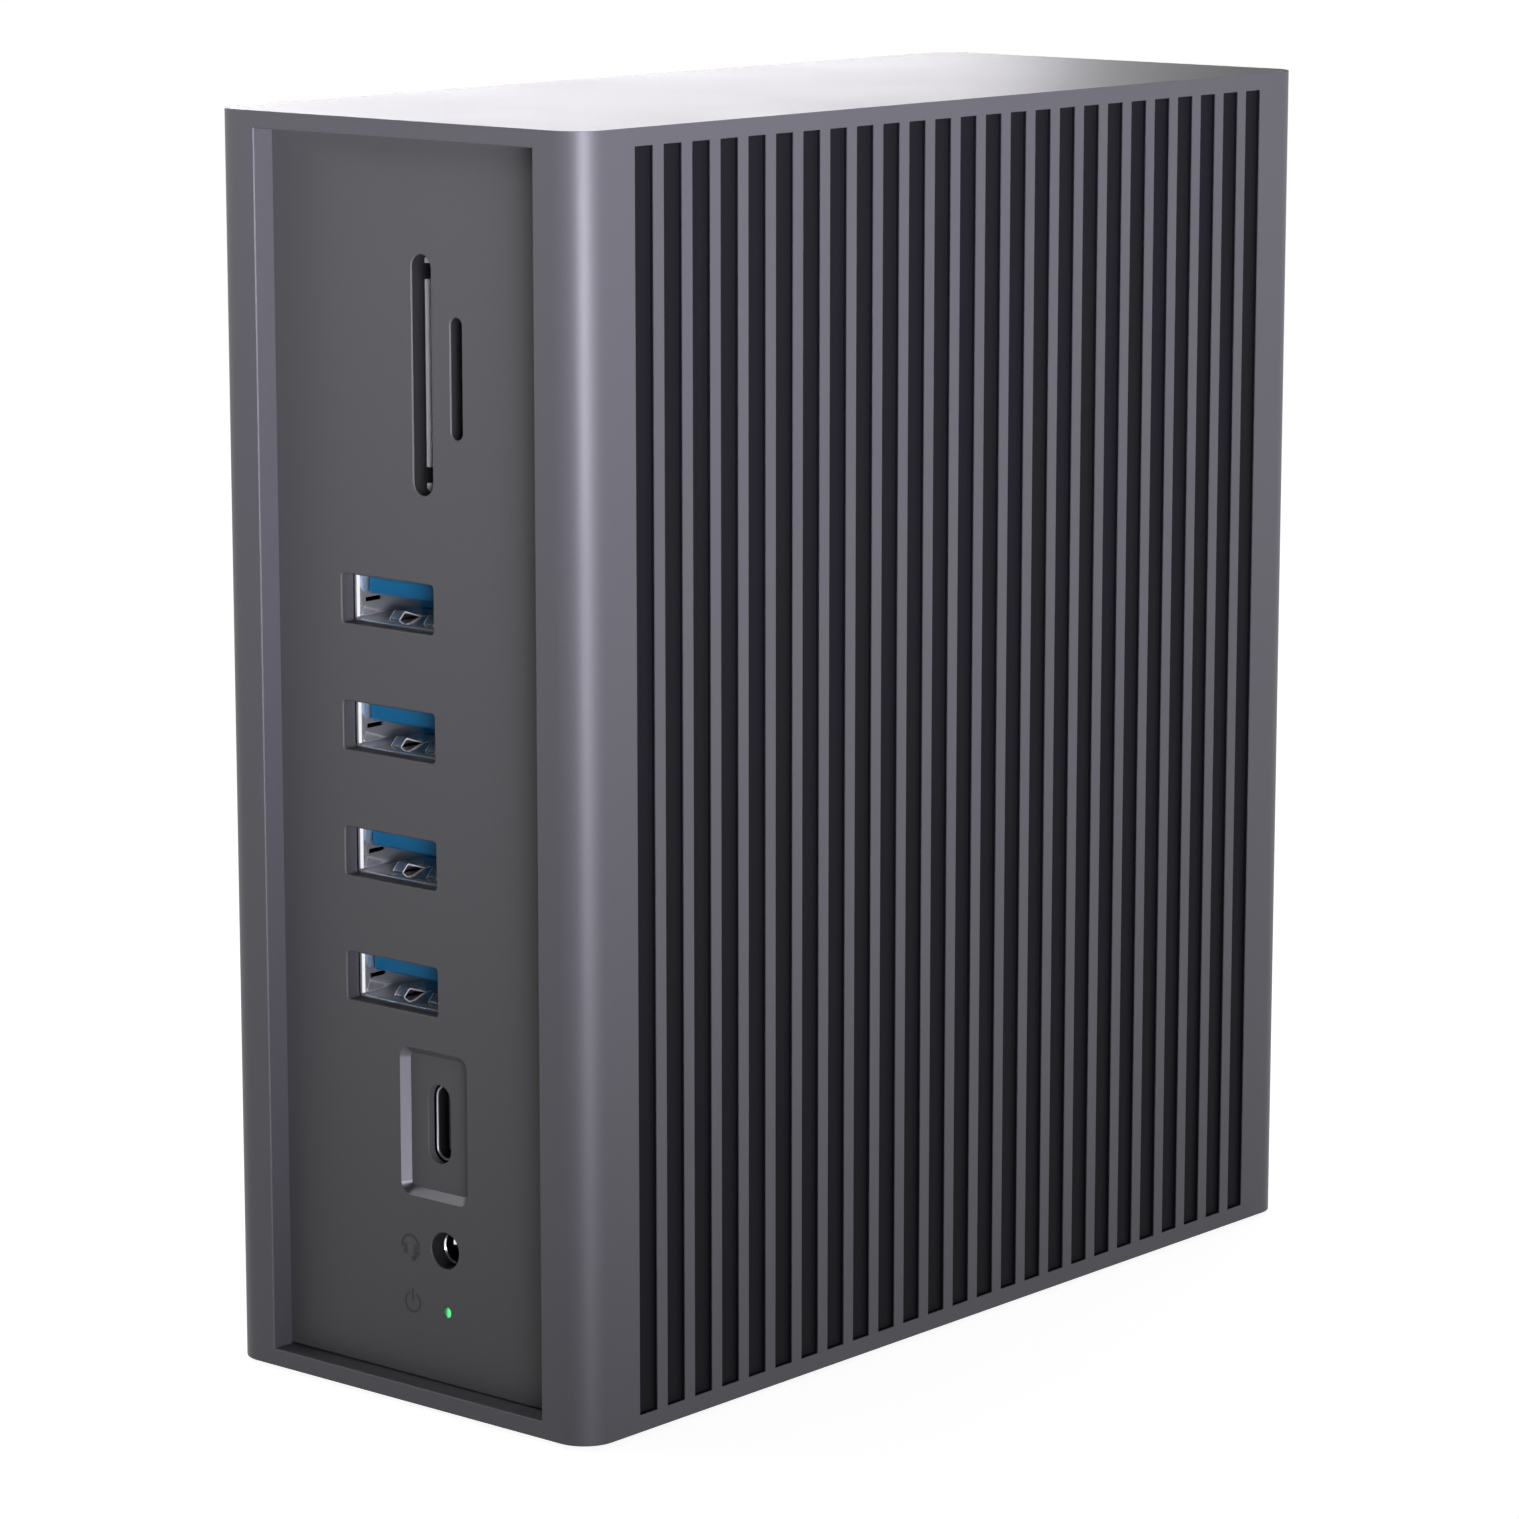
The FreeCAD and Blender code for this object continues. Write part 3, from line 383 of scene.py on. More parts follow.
def outline(wide, tall, radius):
    """Points of a rounded rectangle about the origin, anticlockwise; a full radius gives an oval or disc."""
    points = []
    for turn, (right, up) in enumerate(((1, 1), (-1, 1), (-1, -1), (1, -1))):
        for step in range(ARC_STEPS + 1):
            angle = math.pi / 2 * (turn + step / ARC_STEPS)
            across = right * (wide / 2 - radius) + radius * math.cos(angle)
            along = up * (tall / 2 - radius) + radius * math.sin(angle)
            if not points or math.dist(points[-1], (across, along)) > SAME_POINT:
                points.append((across, along))
    if math.dist(points[0], points[-1]) < SAME_POINT:
        points.pop()
    return points


print("a disc has", len(outline(*disc(4.0))), "points")


# %% Skin helpers
def ring(build, centre, shape, level, axis="Y"):
    """Adds an outline's points at a level along Y, or along Z for pieces that stand on the floor."""
    first, second = centre
    if axis == "Y":
        return [build.verts.new((first + a, level, second + b)) for a, b in outline(*shape)]
    return [build.verts.new((first + a, second + b, level)) for a, b in outline(*shape)]


def skin(build, loops):
    """Joins each loop to the next with quads."""
    for near, far in zip(loops, loops[1:]):
        for i in range(len(near)):
            j = (i + 1) % len(near)
            build.faces.new((near[i], near[j], far[j], far[i]))


def cap(build, loops):
    """Fills the flat area between an outer loop and the holes in it."""
    edges = []
    for loop in loops:
        for a, b in zip(loop, loop[1:] + loop[:1]):
            edges.append(build.edges.get((a, b)) or build.edges.new((a, b)))
    bmesh.ops.triangle_fill(build, use_beauty=True, use_dissolve=False, edges=edges)


def stack(build, centre, stations, axis="Y"):
    """A skin through (shape, level) stations; gives back its loops."""
    loops = [ring(build, centre, shape, level, axis) for shape, level in stations]
    skin(build, loops)
    return loops


def closed_stack(build, centre, stations, axis="Y"):
    """A stack with both ends filled."""
    loops = stack(build, centre, stations, axis)
    cap(build, [loops[0]])
    cap(build, [loops[-1]])


def tube(build, centre, stations):
    """A stack whose last outline joins the first, as the walls of a tube do."""
    loops = stack(build, centre, stations)
    skin(build, [loops[-1], loops[0]])


def bar(build, loops):
    """A skin whose two ends are one face each."""
    skin(build, loops)
    build.faces.new(loops[0])
    build.faces.new(loops[-1])


def block(build, low, high):
    """A closed box between two corners."""
    made = bmesh.ops.create_cube(build, size=1.0)
    for point in made["verts"]:
        point.co = [low[i] + (point.co[i] + 0.5) * (high[i] - low[i]) for i in range(3)]


print("shapes:", [helper.__name__ for helper in (stack, closed_stack, tube, bar, block)])

# %% Piece helpers
SHARP = math.radians(32)
WELD = 1e-5


def make_mesh(name, build, material):
    """Turns a build in millimetres into a mesh in metres with outward faces and crisp edges."""
    bmesh.ops.remove_doubles(build, verts=build.verts, dist=WELD)
    bmesh.ops.recalc_face_normals(build, faces=build.faces)
    mesh = bpy.data.meshes.new(name)
    build.to_mesh(mesh)
    build.free()
    mesh.transform(Matrix.Scale(MM, 4))
    mesh.polygons.foreach_set("use_smooth", [True] * len(mesh.polygons))
    mesh.set_sharp_from_angle(angle=SHARP)
    mesh.materials.append(material)
    return mesh


def claim(piece, slot, *stands_for):
    """Hides the solids that a piece stands for and carries it on the station; the slot is not used."""
    if stands_for:
        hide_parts(*stands_for)
    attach(piece, "root")
    print(piece.name, len(piece.data.polygons), "faces, for", len(stands_for), "solids")


def add_piece(name, build, material, slot, *stands_for):
    """Makes a build a piece of the station."""
    claim(link_object(name, make_mesh(name, build, material)), slot, *stands_for)


print("edges over", round(math.degrees(SHARP)), "degrees stay crisp")

# %% [markdown]
# ## A row of copies
# Grooves, sockets, feet, screws and contacts all repeat at an even step. Geometry Nodes make such rows: a
# line of points gives the places, and a copy of one unit goes to each. A second line gives rows of rows,
# and a half turn about the middle gives the far side. The result is turned into a plain mesh, because an
# exporter drops copies that exist only as instances.

# %% Copies tree
copies = bpy.data.node_groups.new("rows_of_copies", "GeometryNodeTree")
copies.interface.new_socket("Geometry", in_out="OUTPUT", socket_type="NodeSocketGeometry")
COPY_INPUTS = {
    "Unit": "NodeSocketObject", "Count": "NodeSocketInt", "Step": "NodeSocketVector", "Rows": "NodeSocketInt",
    "Row Step": "NodeSocketVector", "Both Sides": "NodeSocketBool", "Finish": "NodeSocketMaterial",
}
for label, kind in COPY_INPUTS.items():
    copies.interface.new_socket(label, in_out="INPUT", socket_type=kind)
given = add_node(copies, "NodeGroupInput", (-900, 0))
unit = add_node(copies, "GeometryNodeObjectInfo", (-600, -250))
row = add_node(copies, "GeometryNodeMeshLine", (-600, 150))
column = add_node(copies, "GeometryNodeMeshLine", (-600, 0))
places = add_node(copies, "GeometryNodeInstanceOnPoints", (-350, 100))
spots = add_node(copies, "GeometryNodeRealizeInstances", (-150, 100))
laid = add_node(copies, "GeometryNodeInstanceOnPoints", (50, 50))
solid = add_node(copies, "GeometryNodeRealizeInstances", (230, 50))
turned = add_node(copies, "GeometryNodeTransform", (400, -100), {"Rotation": (0.0, 0.0, math.pi)})
pair = add_node(copies, "GeometryNodeJoinGeometry", (570, -50))
choice = add_node(copies, "GeometryNodeSwitch", (740, 50), input_type="GEOMETRY")
plain = add_node(copies, "GeometryNodeRealizeInstances", (910, 50))
painted = add_node(copies, "GeometryNodeSetMaterial", (1080, 50))
result = add_node(copies, "NodeGroupOutput", (1250, 50))
wire(copies, [
    (given, "Unit", unit, "Object"), (given, "Count", row, "Count"), (given, "Step", row, "Offset"),
    (given, "Rows", column, "Count"), (given, "Row Step", column, "Offset"),
    (column, "Mesh", places, "Points"), (row, "Mesh", places, "Instance"),
    (places, "Instances", spots, "Geometry"), (spots, "Geometry", laid, "Points"),
    (unit, "Geometry", laid, "Instance"), (laid, "Instances", solid, "Geometry"),
    (solid, "Geometry", turned, "Geometry"), (solid, "Geometry", pair, "Geometry"),
    (turned, "Geometry", pair, "Geometry"), (given, "Both Sides", choice, "Switch"),
    (solid, "Geometry", choice, "False"), (pair, "Geometry", choice, "True"),
    (choice, "Output", plain, "Geometry"), (plain, "Geometry", painted, "Geometry"),
    (given, "Finish", painted, "Material"), (painted, "Geometry", result, "Geometry"),
])
print("copies tree with inputs", list(COPY_INPUTS))


# %% Copies maker
def make_copies(name, build, material, count, step, rows=1, row_step=(0.0, 0.0, 0.0), both_sides=False):
    """Repeats a unit built in millimetres along one or two steps, as one plain mesh."""
    unit_piece = link_object(name + "_unit", make_mesh(name + "_unit", build, material))
    piece = link_object(name, bpy.data.meshes.new(name))
    modifier = piece.modifiers.new("copies", "NODES")
    modifier.node_group = copies
    values = {
        "Unit": unit_piece, "Count": count, "Step": [v * MM for v in step], "Rows": rows,
        "Row Step": [v * MM for v in row_step], "Both Sides": both_sides, "Finish": material,
    }
    for item in copies.interface.items_tree:
        if item.in_out == "INPUT":
            modifier[item.identifier] = values[item.name]
    shaped = piece.evaluated_get(bpy.context.evaluated_depsgraph_get())
    mesh = bpy.data.meshes.new_from_object(shaped)
    piece.modifiers.remove(modifier)
    piece.data = mesh
    bpy.data.objects.remove(unit_piece)
    return piece


print("rows are made by", make_copies.__name__)

# %% [markdown]
# ## The sleeve
# One extruded tube of aluminium makes the whole outside: rounded upright corners, a front frame turned in
# toward the window, and twenty-five milled grooves a side. A box with booleans would leave long slivers
# between the grooves, so the outside is drawn as a grid: columns run round the plan, rows run up, and a
# column that is a groove sinks its middle cell. A small bevel then takes the sharpness off every edge.


# %% Sleeve sizes
def box_mm(node):
    """A solid's lowest and highest corners, in millimetres."""
    low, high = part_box(node)
    return Vector(low) / MM, Vector(high) / MM


SLEEVE_LOW, SLEEVE_HIGH = box_mm("housing")
PANEL_LOW, PANEL_HIGH = box_mm("front_panel")
REAR_LOW, REAR_HIGH = box_mm("rear_panel")
HALF_WIDE = SLEEVE_HIGH.x
HALF_DEEP = SLEEVE_HIGH.y
CORNER = 4.0
CORNER_STEPS = 14
REAR_STEPS = 4
SIDE_WALL = 2.5
END_WALL = 2.0
WINDOW = 21.1
WINDOW_BEVEL = 0.12
PANEL_FACE = PANEL_LOW.y
GROOVES = 25
GROOVE_PITCH = 4.65
GROOVE_WIDE = 2.95
GROOVE_DEEP = 0.5
FIRST_GROOVE = -GROOVE_PITCH * (GROOVES - 1) / 2
INNER = HALF_WIDE - SIDE_WALL
OPEN_ROWS = {"plain": (), "window": (1, 2, 3), "groove": (2,), "rear": (2,)}
LEVELS = [
    SLEEVE_LOW.z, SLEEVE_LOW.z + END_WALL - WINDOW_BEVEL, SLEEVE_LOW.z + END_WALL,
    SLEEVE_HIGH.z - END_WALL, SLEEVE_HIGH.z - END_WALL + WINDOW_BEVEL, SLEEVE_HIGH.z,
]
print("sleeve levels", [round(level, 2) for level in LEVELS])


# %% Sleeve outline
def right_half():
    """Plan points down the right half, from the window round to the back, and what each column is."""
    arc_x, arc_y = HALF_WIDE - CORNER, HALF_DEEP - CORNER
    plan = [(WINDOW + WINDOW_BEVEL, -HALF_DEEP)]
    kinds = ["plain"]

    def turn(first, last, steps, centre_y, kind):
        for step in range(steps + 1):
            angle = first + (last - first) * step / steps
            plan.append((arc_x + CORNER * math.cos(angle), centre_y + CORNER * math.sin(angle)))
            kinds.append(kind)

    turn(-math.pi / 2, 0.0, CORNER_STEPS, -arc_y, "plain")
    for number in range(GROOVES):
        middle = FIRST_GROOVE + number * GROOVE_PITCH
        for end, kind in ((-1, "groove"), (1, "plain")):
            plan.append((HALF_WIDE, middle + end * GROOVE_WIDE / 2))
            kinds.append(kind)
    mouth = math.acos((INNER - arc_x) / CORNER)
    turn(0.0, mouth, CORNER_STEPS - REAR_STEPS, arc_y, "plain")
    plan.pop()
    kinds.pop()
    turn(mouth, math.pi / 2, REAR_STEPS, arc_y, "rear")
    return plan, kinds[:-1]


half_plan, half_kinds = right_half()
plan = half_plan + [(-x, y) for x, y in reversed(half_plan)]
kinds = half_kinds + ["rear"] + half_kinds[::-1] + ["window"]
print(len(plan), "columns round the sleeve, of which", kinds.count("groove"), "are grooves")

# %% Sleeve outside
build = bmesh.new()
grid = [[build.verts.new((x, y, z)) for z in LEVELS] for x, y in plan]


def sink_cell(corners, depth):
    """A pocket in place of a cell: its floor lies depth further in, toward the middle of the sleeve."""
    inward = -math.copysign(depth, corners[0].co.x)
    floor_corners = [build.verts.new(v.co + Vector((inward, 0.0, 0.0))) for v in corners]
    skin(build, [corners, floor_corners])
    build.faces.new(floor_corners)


for i, kind in enumerate(kinds):
    j = (i + 1) % len(plan)
    for level in range(len(LEVELS) - 1):
        cell = [grid[i][level], grid[j][level], grid[j][level + 1], grid[i][level + 1]]
        if level not in OPEN_ROWS[kind]:
            build.faces.new(cell)
        elif kind == "groove":
            sink_cell(cell, GROOVE_DEEP)
print(len(build.faces), "faces round the outside")

# %% Sleeve ends
SIDES = (-1, 1)
QUARTERS = [(right, other) for right in SIDES for other in SIDES]
FOOT_LOW, FOOT_HIGH = box_mm("foot_1")
FOOT_AT = ((FOOT_LOW.x + FOOT_HIGH.x) / 2, (FOOT_LOW.y + FOOT_HIGH.y) / 2)
FOOT_WIDE = FOOT_HIGH.x - FOOT_LOW.x
FOOT_GAP = 0.2
seat = disc(FOOT_WIDE + 2 * FOOT_GAP)
seats = []
for right, back in QUARTERS:
    at = (-right * FOOT_AT[0], -back * FOOT_AT[1])
    rims = stack(build, at, [(seat, SLEEVE_LOW.z), (seat, FOOT_HIGH.z)], "Z")
    cap(build, [rims[1]])
    seats.append(rims[0])
cap(build, [[column[-1] for column in grid]])
cap(build, [[column[0] for column in grid]] + seats)
print(len(seats), "seats for the feet")

# %% Sleeve inside
LOW_RIM, LOW, HIGH, HIGH_RIM = 1, 2, 3, 4
window_right = 0
window_left = len(plan) - 1
rear = [i for i, kind in enumerate(kinds) if kind == "rear"]
rear.append(rear[-1] + 1)
inside = {}
for level in (LOW, HIGH):
    z = LEVELS[level]
    for side in SIDES:
        inside[side, level] = [
            build.verts.new((side * WINDOW, -HALF_DEEP + WINDOW_BEVEL, z)),
            build.verts.new((side * WINDOW, PANEL_FACE, z)),
            build.verts.new((side * INNER, PANEL_FACE, z)),
        ]
    across = inside[1, level] + [grid[i][level] for i in rear] + inside[-1, level][::-1]
    build.faces.new(across)
for side, edge, back in ((1, window_right, rear[0]), (-1, window_left, rear[-1])):
    low, high = inside[side, LOW], inside[side, HIGH]
    build.faces.new([low[0], low[1], high[1], high[0]])
    build.faces.new([low[1], low[2], high[2], high[1]])
    build.faces.new([low[2], grid[back][LOW], grid[back][HIGH], high[2]])
    build.faces.new([low[0], high[0], *[grid[edge][level] for level in (HIGH_RIM, HIGH, LOW, LOW_RIM)]])
for level, edge_level in ((LOW, LOW_RIM), (HIGH, HIGH_RIM)):
    ends = [inside[-1, level][0], inside[1, level][0]]
    build.faces.new([*ends, grid[window_right][edge_level], grid[window_left][edge_level]])
print(len(build.faces), "faces with the inside")

# %% Sleeve rails and bosses
BOARD_LOW, BOARD_HIGH = box_mm("main_board")
RAIL_WIDE = 1.5
RAIL_TALL = 3.0
RAIL_GAP = 0.2
RAIL_FRONT = -54.0
BOSS = 7.0
BOSS_CORNER = 0.3
BOSS_LONG = 12.0
BOSS_BORE = disc(3.0)
SUNK = 0.05
for left in (BOARD_LOW.x - RAIL_GAP - RAIL_WIDE, BOARD_HIGH.x + RAIL_GAP):
    for low_z in (LEVELS[LOW] - SUNK, LEVELS[HIGH] - RAIL_TALL):
        block(build, (left, RAIL_FRONT, low_z), (left + RAIL_WIDE, BOARD_HIGH.y, low_z + RAIL_TALL + SUNK))
BOSS_X = INNER - BOSS / 2
BOSS_Z = (LEVELS[HIGH] - LEVELS[LOW] - BOSS) / 2
MIDDLE_Z = (LEVELS[HIGH] + LEVELS[LOW]) / 2
boss_wall = (BOSS + SUNK, BOSS + SUNK, BOSS_CORNER)
boss_ends = [REAR_LOW.y - BOSS_LONG, REAR_LOW.y]
boss_places = [(right * BOSS_X, MIDDLE_Z + up * BOSS_Z) for right, up in QUARTERS]
for (right, up), place in zip(QUARTERS, boss_places):
    at = (right * (BOSS_X + SUNK / 2), MIDDLE_Z + up * (BOSS_Z + SUNK / 2))
    outer = stack(build, at, [(boss_wall, y) for y in boss_ends])
    hole = stack(build, place, [(BOSS_BORE, y) for y in boss_ends])
    cap(build, [outer[0], hole[0]])
    cap(build, [outer[1], hole[1]])
print("bosses at", [(round(x, 2), round(z, 2)) for x, z in boss_places])

# %% Sleeve piece
SLEEVE_EDGE = 0.09
sleeve = link_object("sleeve", make_mesh("sleeve", build, anodised))
soft = sleeve.modifiers.new("soft_edge", "BEVEL")
soft.width = SLEEVE_EDGE * MM
soft.segments = 2
soft.limit_method = "ANGLE"
soft.angle_limit = SHARP
soft.harden_normals = True
claim(sleeve, "sleeve", "housing")

# %% [markdown]
# ## The blackened grooves
# The grooves are black on their floors and walls, with a clean edge at the sleeve's surface. Painting
# faces of the sleeve would put the colour's edge on a mesh edge that the bevel moves, so each groove gets
# a thin black liner, an open tray with its rim just under the surface. The copies tree lays twenty-five
# on one side and turns them to the other.

# %% Groove liners
LINER_GAP = 0.01
LINER_WALL = 0.05
LINER_RIM = 0.10
groove_tall = LEVELS[HIGH] - LEVELS[LOW]
build = bmesh.new()


def tray_loop(wide, tall, x):
    """A rectangle in a plane across X, about the first groove."""
    corners = ((-1, -1), (1, -1), (1, 1), (-1, 1))
    return [build.verts.new((x, FIRST_GROOVE + a * wide / 2, MIDDLE_Z + b * tall / 2)) for a, b in corners]


out_wide, out_tall = GROOVE_WIDE - 2 * LINER_GAP, groove_tall - 2 * LINER_GAP
in_wide, in_tall = out_wide - 2 * LINER_WALL, out_tall - 2 * LINER_WALL
bottom = HALF_WIDE - GROOVE_DEEP + LINER_GAP
rim = HALF_WIDE - LINER_RIM
tray = [
    tray_loop(out_wide, out_tall, bottom), tray_loop(out_wide, out_tall, rim),
    tray_loop(in_wide, in_tall, rim), tray_loop(in_wide, in_tall, bottom + LINER_WALL),
]
bar(build, tray)
liners = make_copies("groove_liners", build, groove_black, GROOVES, (0.0, GROOVE_PITCH, 0.0), both_sides=True)
claim(liners, "sleeve")

# %% [markdown]
# ## The front panel
# A dark plate closes the window from inside and carries every cut-out: two card slots, four flat mouths,
# a dish round the small oval socket, the audio hole and the light. Each hole is a stack of outlines from
# the face to the back, with a fine chamfer at its rim, and the face is the flat area left between them.


# %% Panel sizes
def seen(node):
    """A solid as seen from the front: its middle (x, z), its width and its height."""
    low, high = box_mm(node)
    return ((low.x + high.x) / 2, (low.z + high.z) / 2), high.x - low.x, high.z - low.z


PANEL_BACK = PANEL_HIGH.y
PLATE_CORNER = 0.5
CHAMFER = 0.12
FLAT_LOW, FLAT_HIGH = box_mm("flat_shell_1")
FLAT_AT, FLAT_WIDE, FLAT_TALL = seen("flat_shell_1")
FLAT_PITCH = FLAT_LOW.z - box_mm("flat_shell_2")[0].z
FLATS = 4
FLAT_CUT = (14.2, 5.7, 0.5)
OVAL_AT, OVAL_WIDE, OVAL_TALL = seen("front_oval_shell")
OVAL_GAP = 0.12
OVAL_BEVEL = 0.08
DISH = (10.5, 17.35, 1.5)
DISH_SLOPE = 0.85
DISH_DEEP = 0.90
AUDIO_LOW, AUDIO_HIGH = box_mm("audio_sleeve")
AUDIO_AT, AUDIO_WIDE, _ = seen("audio_sleeve")
AUDIO_HOLE = disc(4.3)
AUDIO_BEVEL = 0.10
PIPE_LOW, PIPE_HIGH = box_mm("light_pipe")
LIGHT_AT, PIPE_WIDE, _ = seen("light_pipe")
LIGHT_HOLE = disc(1.3)
LIGHT_BEVEL = 0.05
CARD_Z = seen("large_card_base")[0][1]
CARD_SLOT = ((1.7, CARD_Z), (2.9, 26.7, 1.45))
SMALL_SLOT = ((6.9, CARD_Z), (1.7, 13.5, 0.85))
flat_windows = [((FLAT_AT[0], FLAT_AT[1] - n * FLAT_PITCH), FLAT_CUT) for n in range(FLATS)]
print("flat mouths at", [round(at[1], 2) for at, shape in flat_windows])


# %% Front panel
def pierce(build, centre, shape, chamfer, front, back):
    """A hole's wall with a chamfered rim; gives back its first and last loop."""
    loops = stack(build, centre, [(grow(shape, chamfer), front), (shape, front + chamfer), (shape, back)])
    return loops[0], loops[-1]


build = bmesh.new()
plate = (PANEL_HIGH.x - PANEL_LOW.x, PANEL_HIGH.z - PANEL_LOW.z, PLATE_CORNER)
plate_at = (0.0, (PANEL_LOW.z + PANEL_HIGH.z) / 2)
edge = stack(build, plate_at, [(plate, PANEL_FACE), (plate, PANEL_BACK)])
holes = [(*CARD_SLOT, CHAMFER), (*SMALL_SLOT, CHAMFER)]
holes += [(AUDIO_AT, AUDIO_HOLE, AUDIO_BEVEL), (LIGHT_AT, LIGHT_HOLE, LIGHT_BEVEL)]
holes += [(*window, CHAMFER) for window in flat_windows]
rims = [pierce(build, at, shape, chamfer, PANEL_FACE, PANEL_BACK) for at, shape, chamfer in holes]
dish_floor = PANEL_FACE + DISH_DEEP
dish_end = grow(DISH, -DISH_SLOPE)
dish = stack(build, OVAL_AT, [(DISH, PANEL_FACE), (dish_end, dish_floor)])
oval_mouth = grow((OVAL_WIDE, OVAL_TALL, OVAL_WIDE / 2), OVAL_GAP)
oval_rim = pierce(build, OVAL_AT, oval_mouth, OVAL_BEVEL, dish_floor, PANEL_BACK)
cap(build, [edge[0], dish[0]] + [first for first, last in rims])
cap(build, [dish[1], oval_rim[0]])
cap(build, [edge[1], oval_rim[1]] + [last for first, last in rims])
add_piece("panel", build, panel_grey, "front_panel", "front_panel")

# %% [markdown]
# ## Rim and linings of the cut-outs
# The dish's sloping rim is cut last and shines a little. The walls of the slots, mouths and audio hole are
# painted darker than the face, as painted shade. A second material on those faces would do it, but a thin
# rim and thin linings keep the panel one plain moulding and end cleanly short of its chamfers. The audio
# hole's lining also closes in to the plug's bore.

# %% Dish rim
RIM_THICK = 0.03
build = bmesh.new()
tube(build, OVAL_AT, [
    (DISH, PANEL_FACE), (dish_end, dish_floor),
    (grow(dish_end, -RIM_THICK), dish_floor), (grow(DISH, -RIM_THICK), PANEL_FACE),
])
add_piece("dish_rim", build, cut_metal, "front_panel")

# %% Linings of painted shade
LINING_GAP = 0.01
LINING = 0.06
LINING_INSET = 0.15
PLUG_BORE = disc(3.7)


def line_holes(name, holes, material):
    """Thin dark linings that paint shade inside holes of the panel; each may close in to a narrower outline
    at the back.
    """
    front = PANEL_FACE + LINING_INSET
    build = bmesh.new()
    for at, shape, end in holes:
        wall = grow(shape, -LINING)
        tube(build, at, [
            (grow(shape, -LINING_GAP), front), (wall, front), (wall, PANEL_BACK - LINING),
            (end or wall, PANEL_BACK - LINING / 2), (grow(shape, -LINING_GAP), PANEL_BACK),
        ])
    add_piece(name, build, material, "front_panel")


slots = [(*CARD_SLOT, None), (*SMALL_SLOT, None), (AUDIO_AT, AUDIO_HOLE, PLUG_BORE)]
line_holes("slot_linings", slots, hole_wall_shade)
line_holes("window_linings", [(*window, None) for window in flat_windows], window_wall_shade)

# %% [markdown]
# ## The flat data sockets
# Each socket is a folded steel shell with a flared mouth and a blue tongue inside. The shell is a stack
# of outlines, inner and outer; its spring windows are cut with a boolean, which is clean on so simple a
# tube. Two leaf springs below and two above press on the plug. They are bent strips along a line of
# points, and near-white strips beside them paint a highlight along their edges. One socket is made,
# and the copies tree makes it four.

# %% Flat socket shell
SHEET = 0.3
MOUTH_Y = FLAT_LOW.y
SHELL_BACK = FLAT_HIGH.y
SHELL_CORNER = 0.5
INNER_CORNER = 0.35
# Each row of a flare: how much wider and taller than the tube, corner radius, distance behind the mouth.
INNER_FLARE = ((0.0, 0.0, INNER_CORNER, 0.6), (0.21, 0.05, 0.40, 0.21), (0.798, 0.30, 0.45, 0.0))
OUTER_FLARE = (
    (0.798, 0.0, SHELL_CORNER, 0.0), (0.798, 0.0, SHELL_CORNER, 0.15), (0.0, 0.0, SHELL_CORNER, 0.8),
)
inner = (FLAT_WIDE - 2 * SHEET, FLAT_TALL - 2 * SHEET, INNER_CORNER)
outer = (FLAT_WIDE, FLAT_TALL, SHELL_CORNER)
stations = [(inner, SHELL_BACK)]
for (wide, tall, _), flare in ((inner, INNER_FLARE), (outer, OUTER_FLARE)):
    stations += [((wide + a, tall + b, corner), MOUTH_Y + behind) for a, b, corner, behind in flare]
stations.append((outer, SHELL_BACK))
build = bmesh.new()
tube(build, FLAT_AT, stations)
shell_unit = link_object("shell_unit", make_mesh("shell_unit", build, sheet_steel))
print("shell mouth", round(FLAT_WIDE + OUTER_FLARE[0][0], 2), "mm wide")

# %% Shell windows
SPRING_SPACING = 5.3
SPRING_WINDOW = 1.9
SPRING_START = 1.6
SPRING_LONG = 5.0
SLIT_START = 1.0
SLIT_LONG = 2.6
SLIT_TALL = 0.5
SLIT_DROP = 0.5
PAST = 1.0
DOWN = (0.0, 0.0, -FLAT_PITCH)
spring_places = [FLAT_AT[0] + right * SPRING_SPACING / 2 for right in SIDES]
cutters = bmesh.new()
front = MOUTH_Y + SPRING_START
for middle in spring_places:
    low = (middle - SPRING_WINDOW / 2, front, FLAT_LOW.z - PAST)
    block(cutters, low, (middle + SPRING_WINDOW / 2, front + SPRING_LONG, FLAT_HIGH.z + PAST))
slit_z = FLAT_AT[1] - SLIT_DROP
slit_front = MOUTH_Y + SLIT_START
low = (FLAT_LOW.x - PAST, slit_front, slit_z - SLIT_TALL / 2)
block(cutters, low, (FLAT_HIGH.x + PAST, slit_front + SLIT_LONG, slit_z + SLIT_TALL / 2))
cutter = link_object("cutter", make_mesh("cutter", cutters, sheet_steel))
carve = shell_unit.modifiers.new("windows", "BOOLEAN")
carve.operation = "DIFFERENCE"
carve.solver = "EXACT"
carve.use_self = True
carve.object = cutter
carved = bpy.data.meshes.new_from_object(shell_unit.evaluated_get(bpy.context.evaluated_depsgraph_get()))
bpy.data.objects.remove(shell_unit)
bpy.data.objects.remove(cutter)
build = bmesh.new()
build.from_mesh(carved)
bmesh.ops.scale(build, vec=(1 / MM, 1 / MM, 1 / MM), verts=build.verts)
shells = make_copies("flat_shells", build, sheet_steel, FLATS, DOWN)
claim(shells, "socket_steel", *[f"flat_shell_{n + 1}" for n in range(FLATS)])

# %% Shell springs
SPRING_LINE = ((6.4, -0.02), (5.6, 0.06), (3.2, 0.84), (2.95, 0.92), (2.70, 0.84), (1.95, 0.10))
SPRING_SHEET = 0.18
SPRING_WIDE = 1.4
GLINT_STRIP_WIDE = 0.08


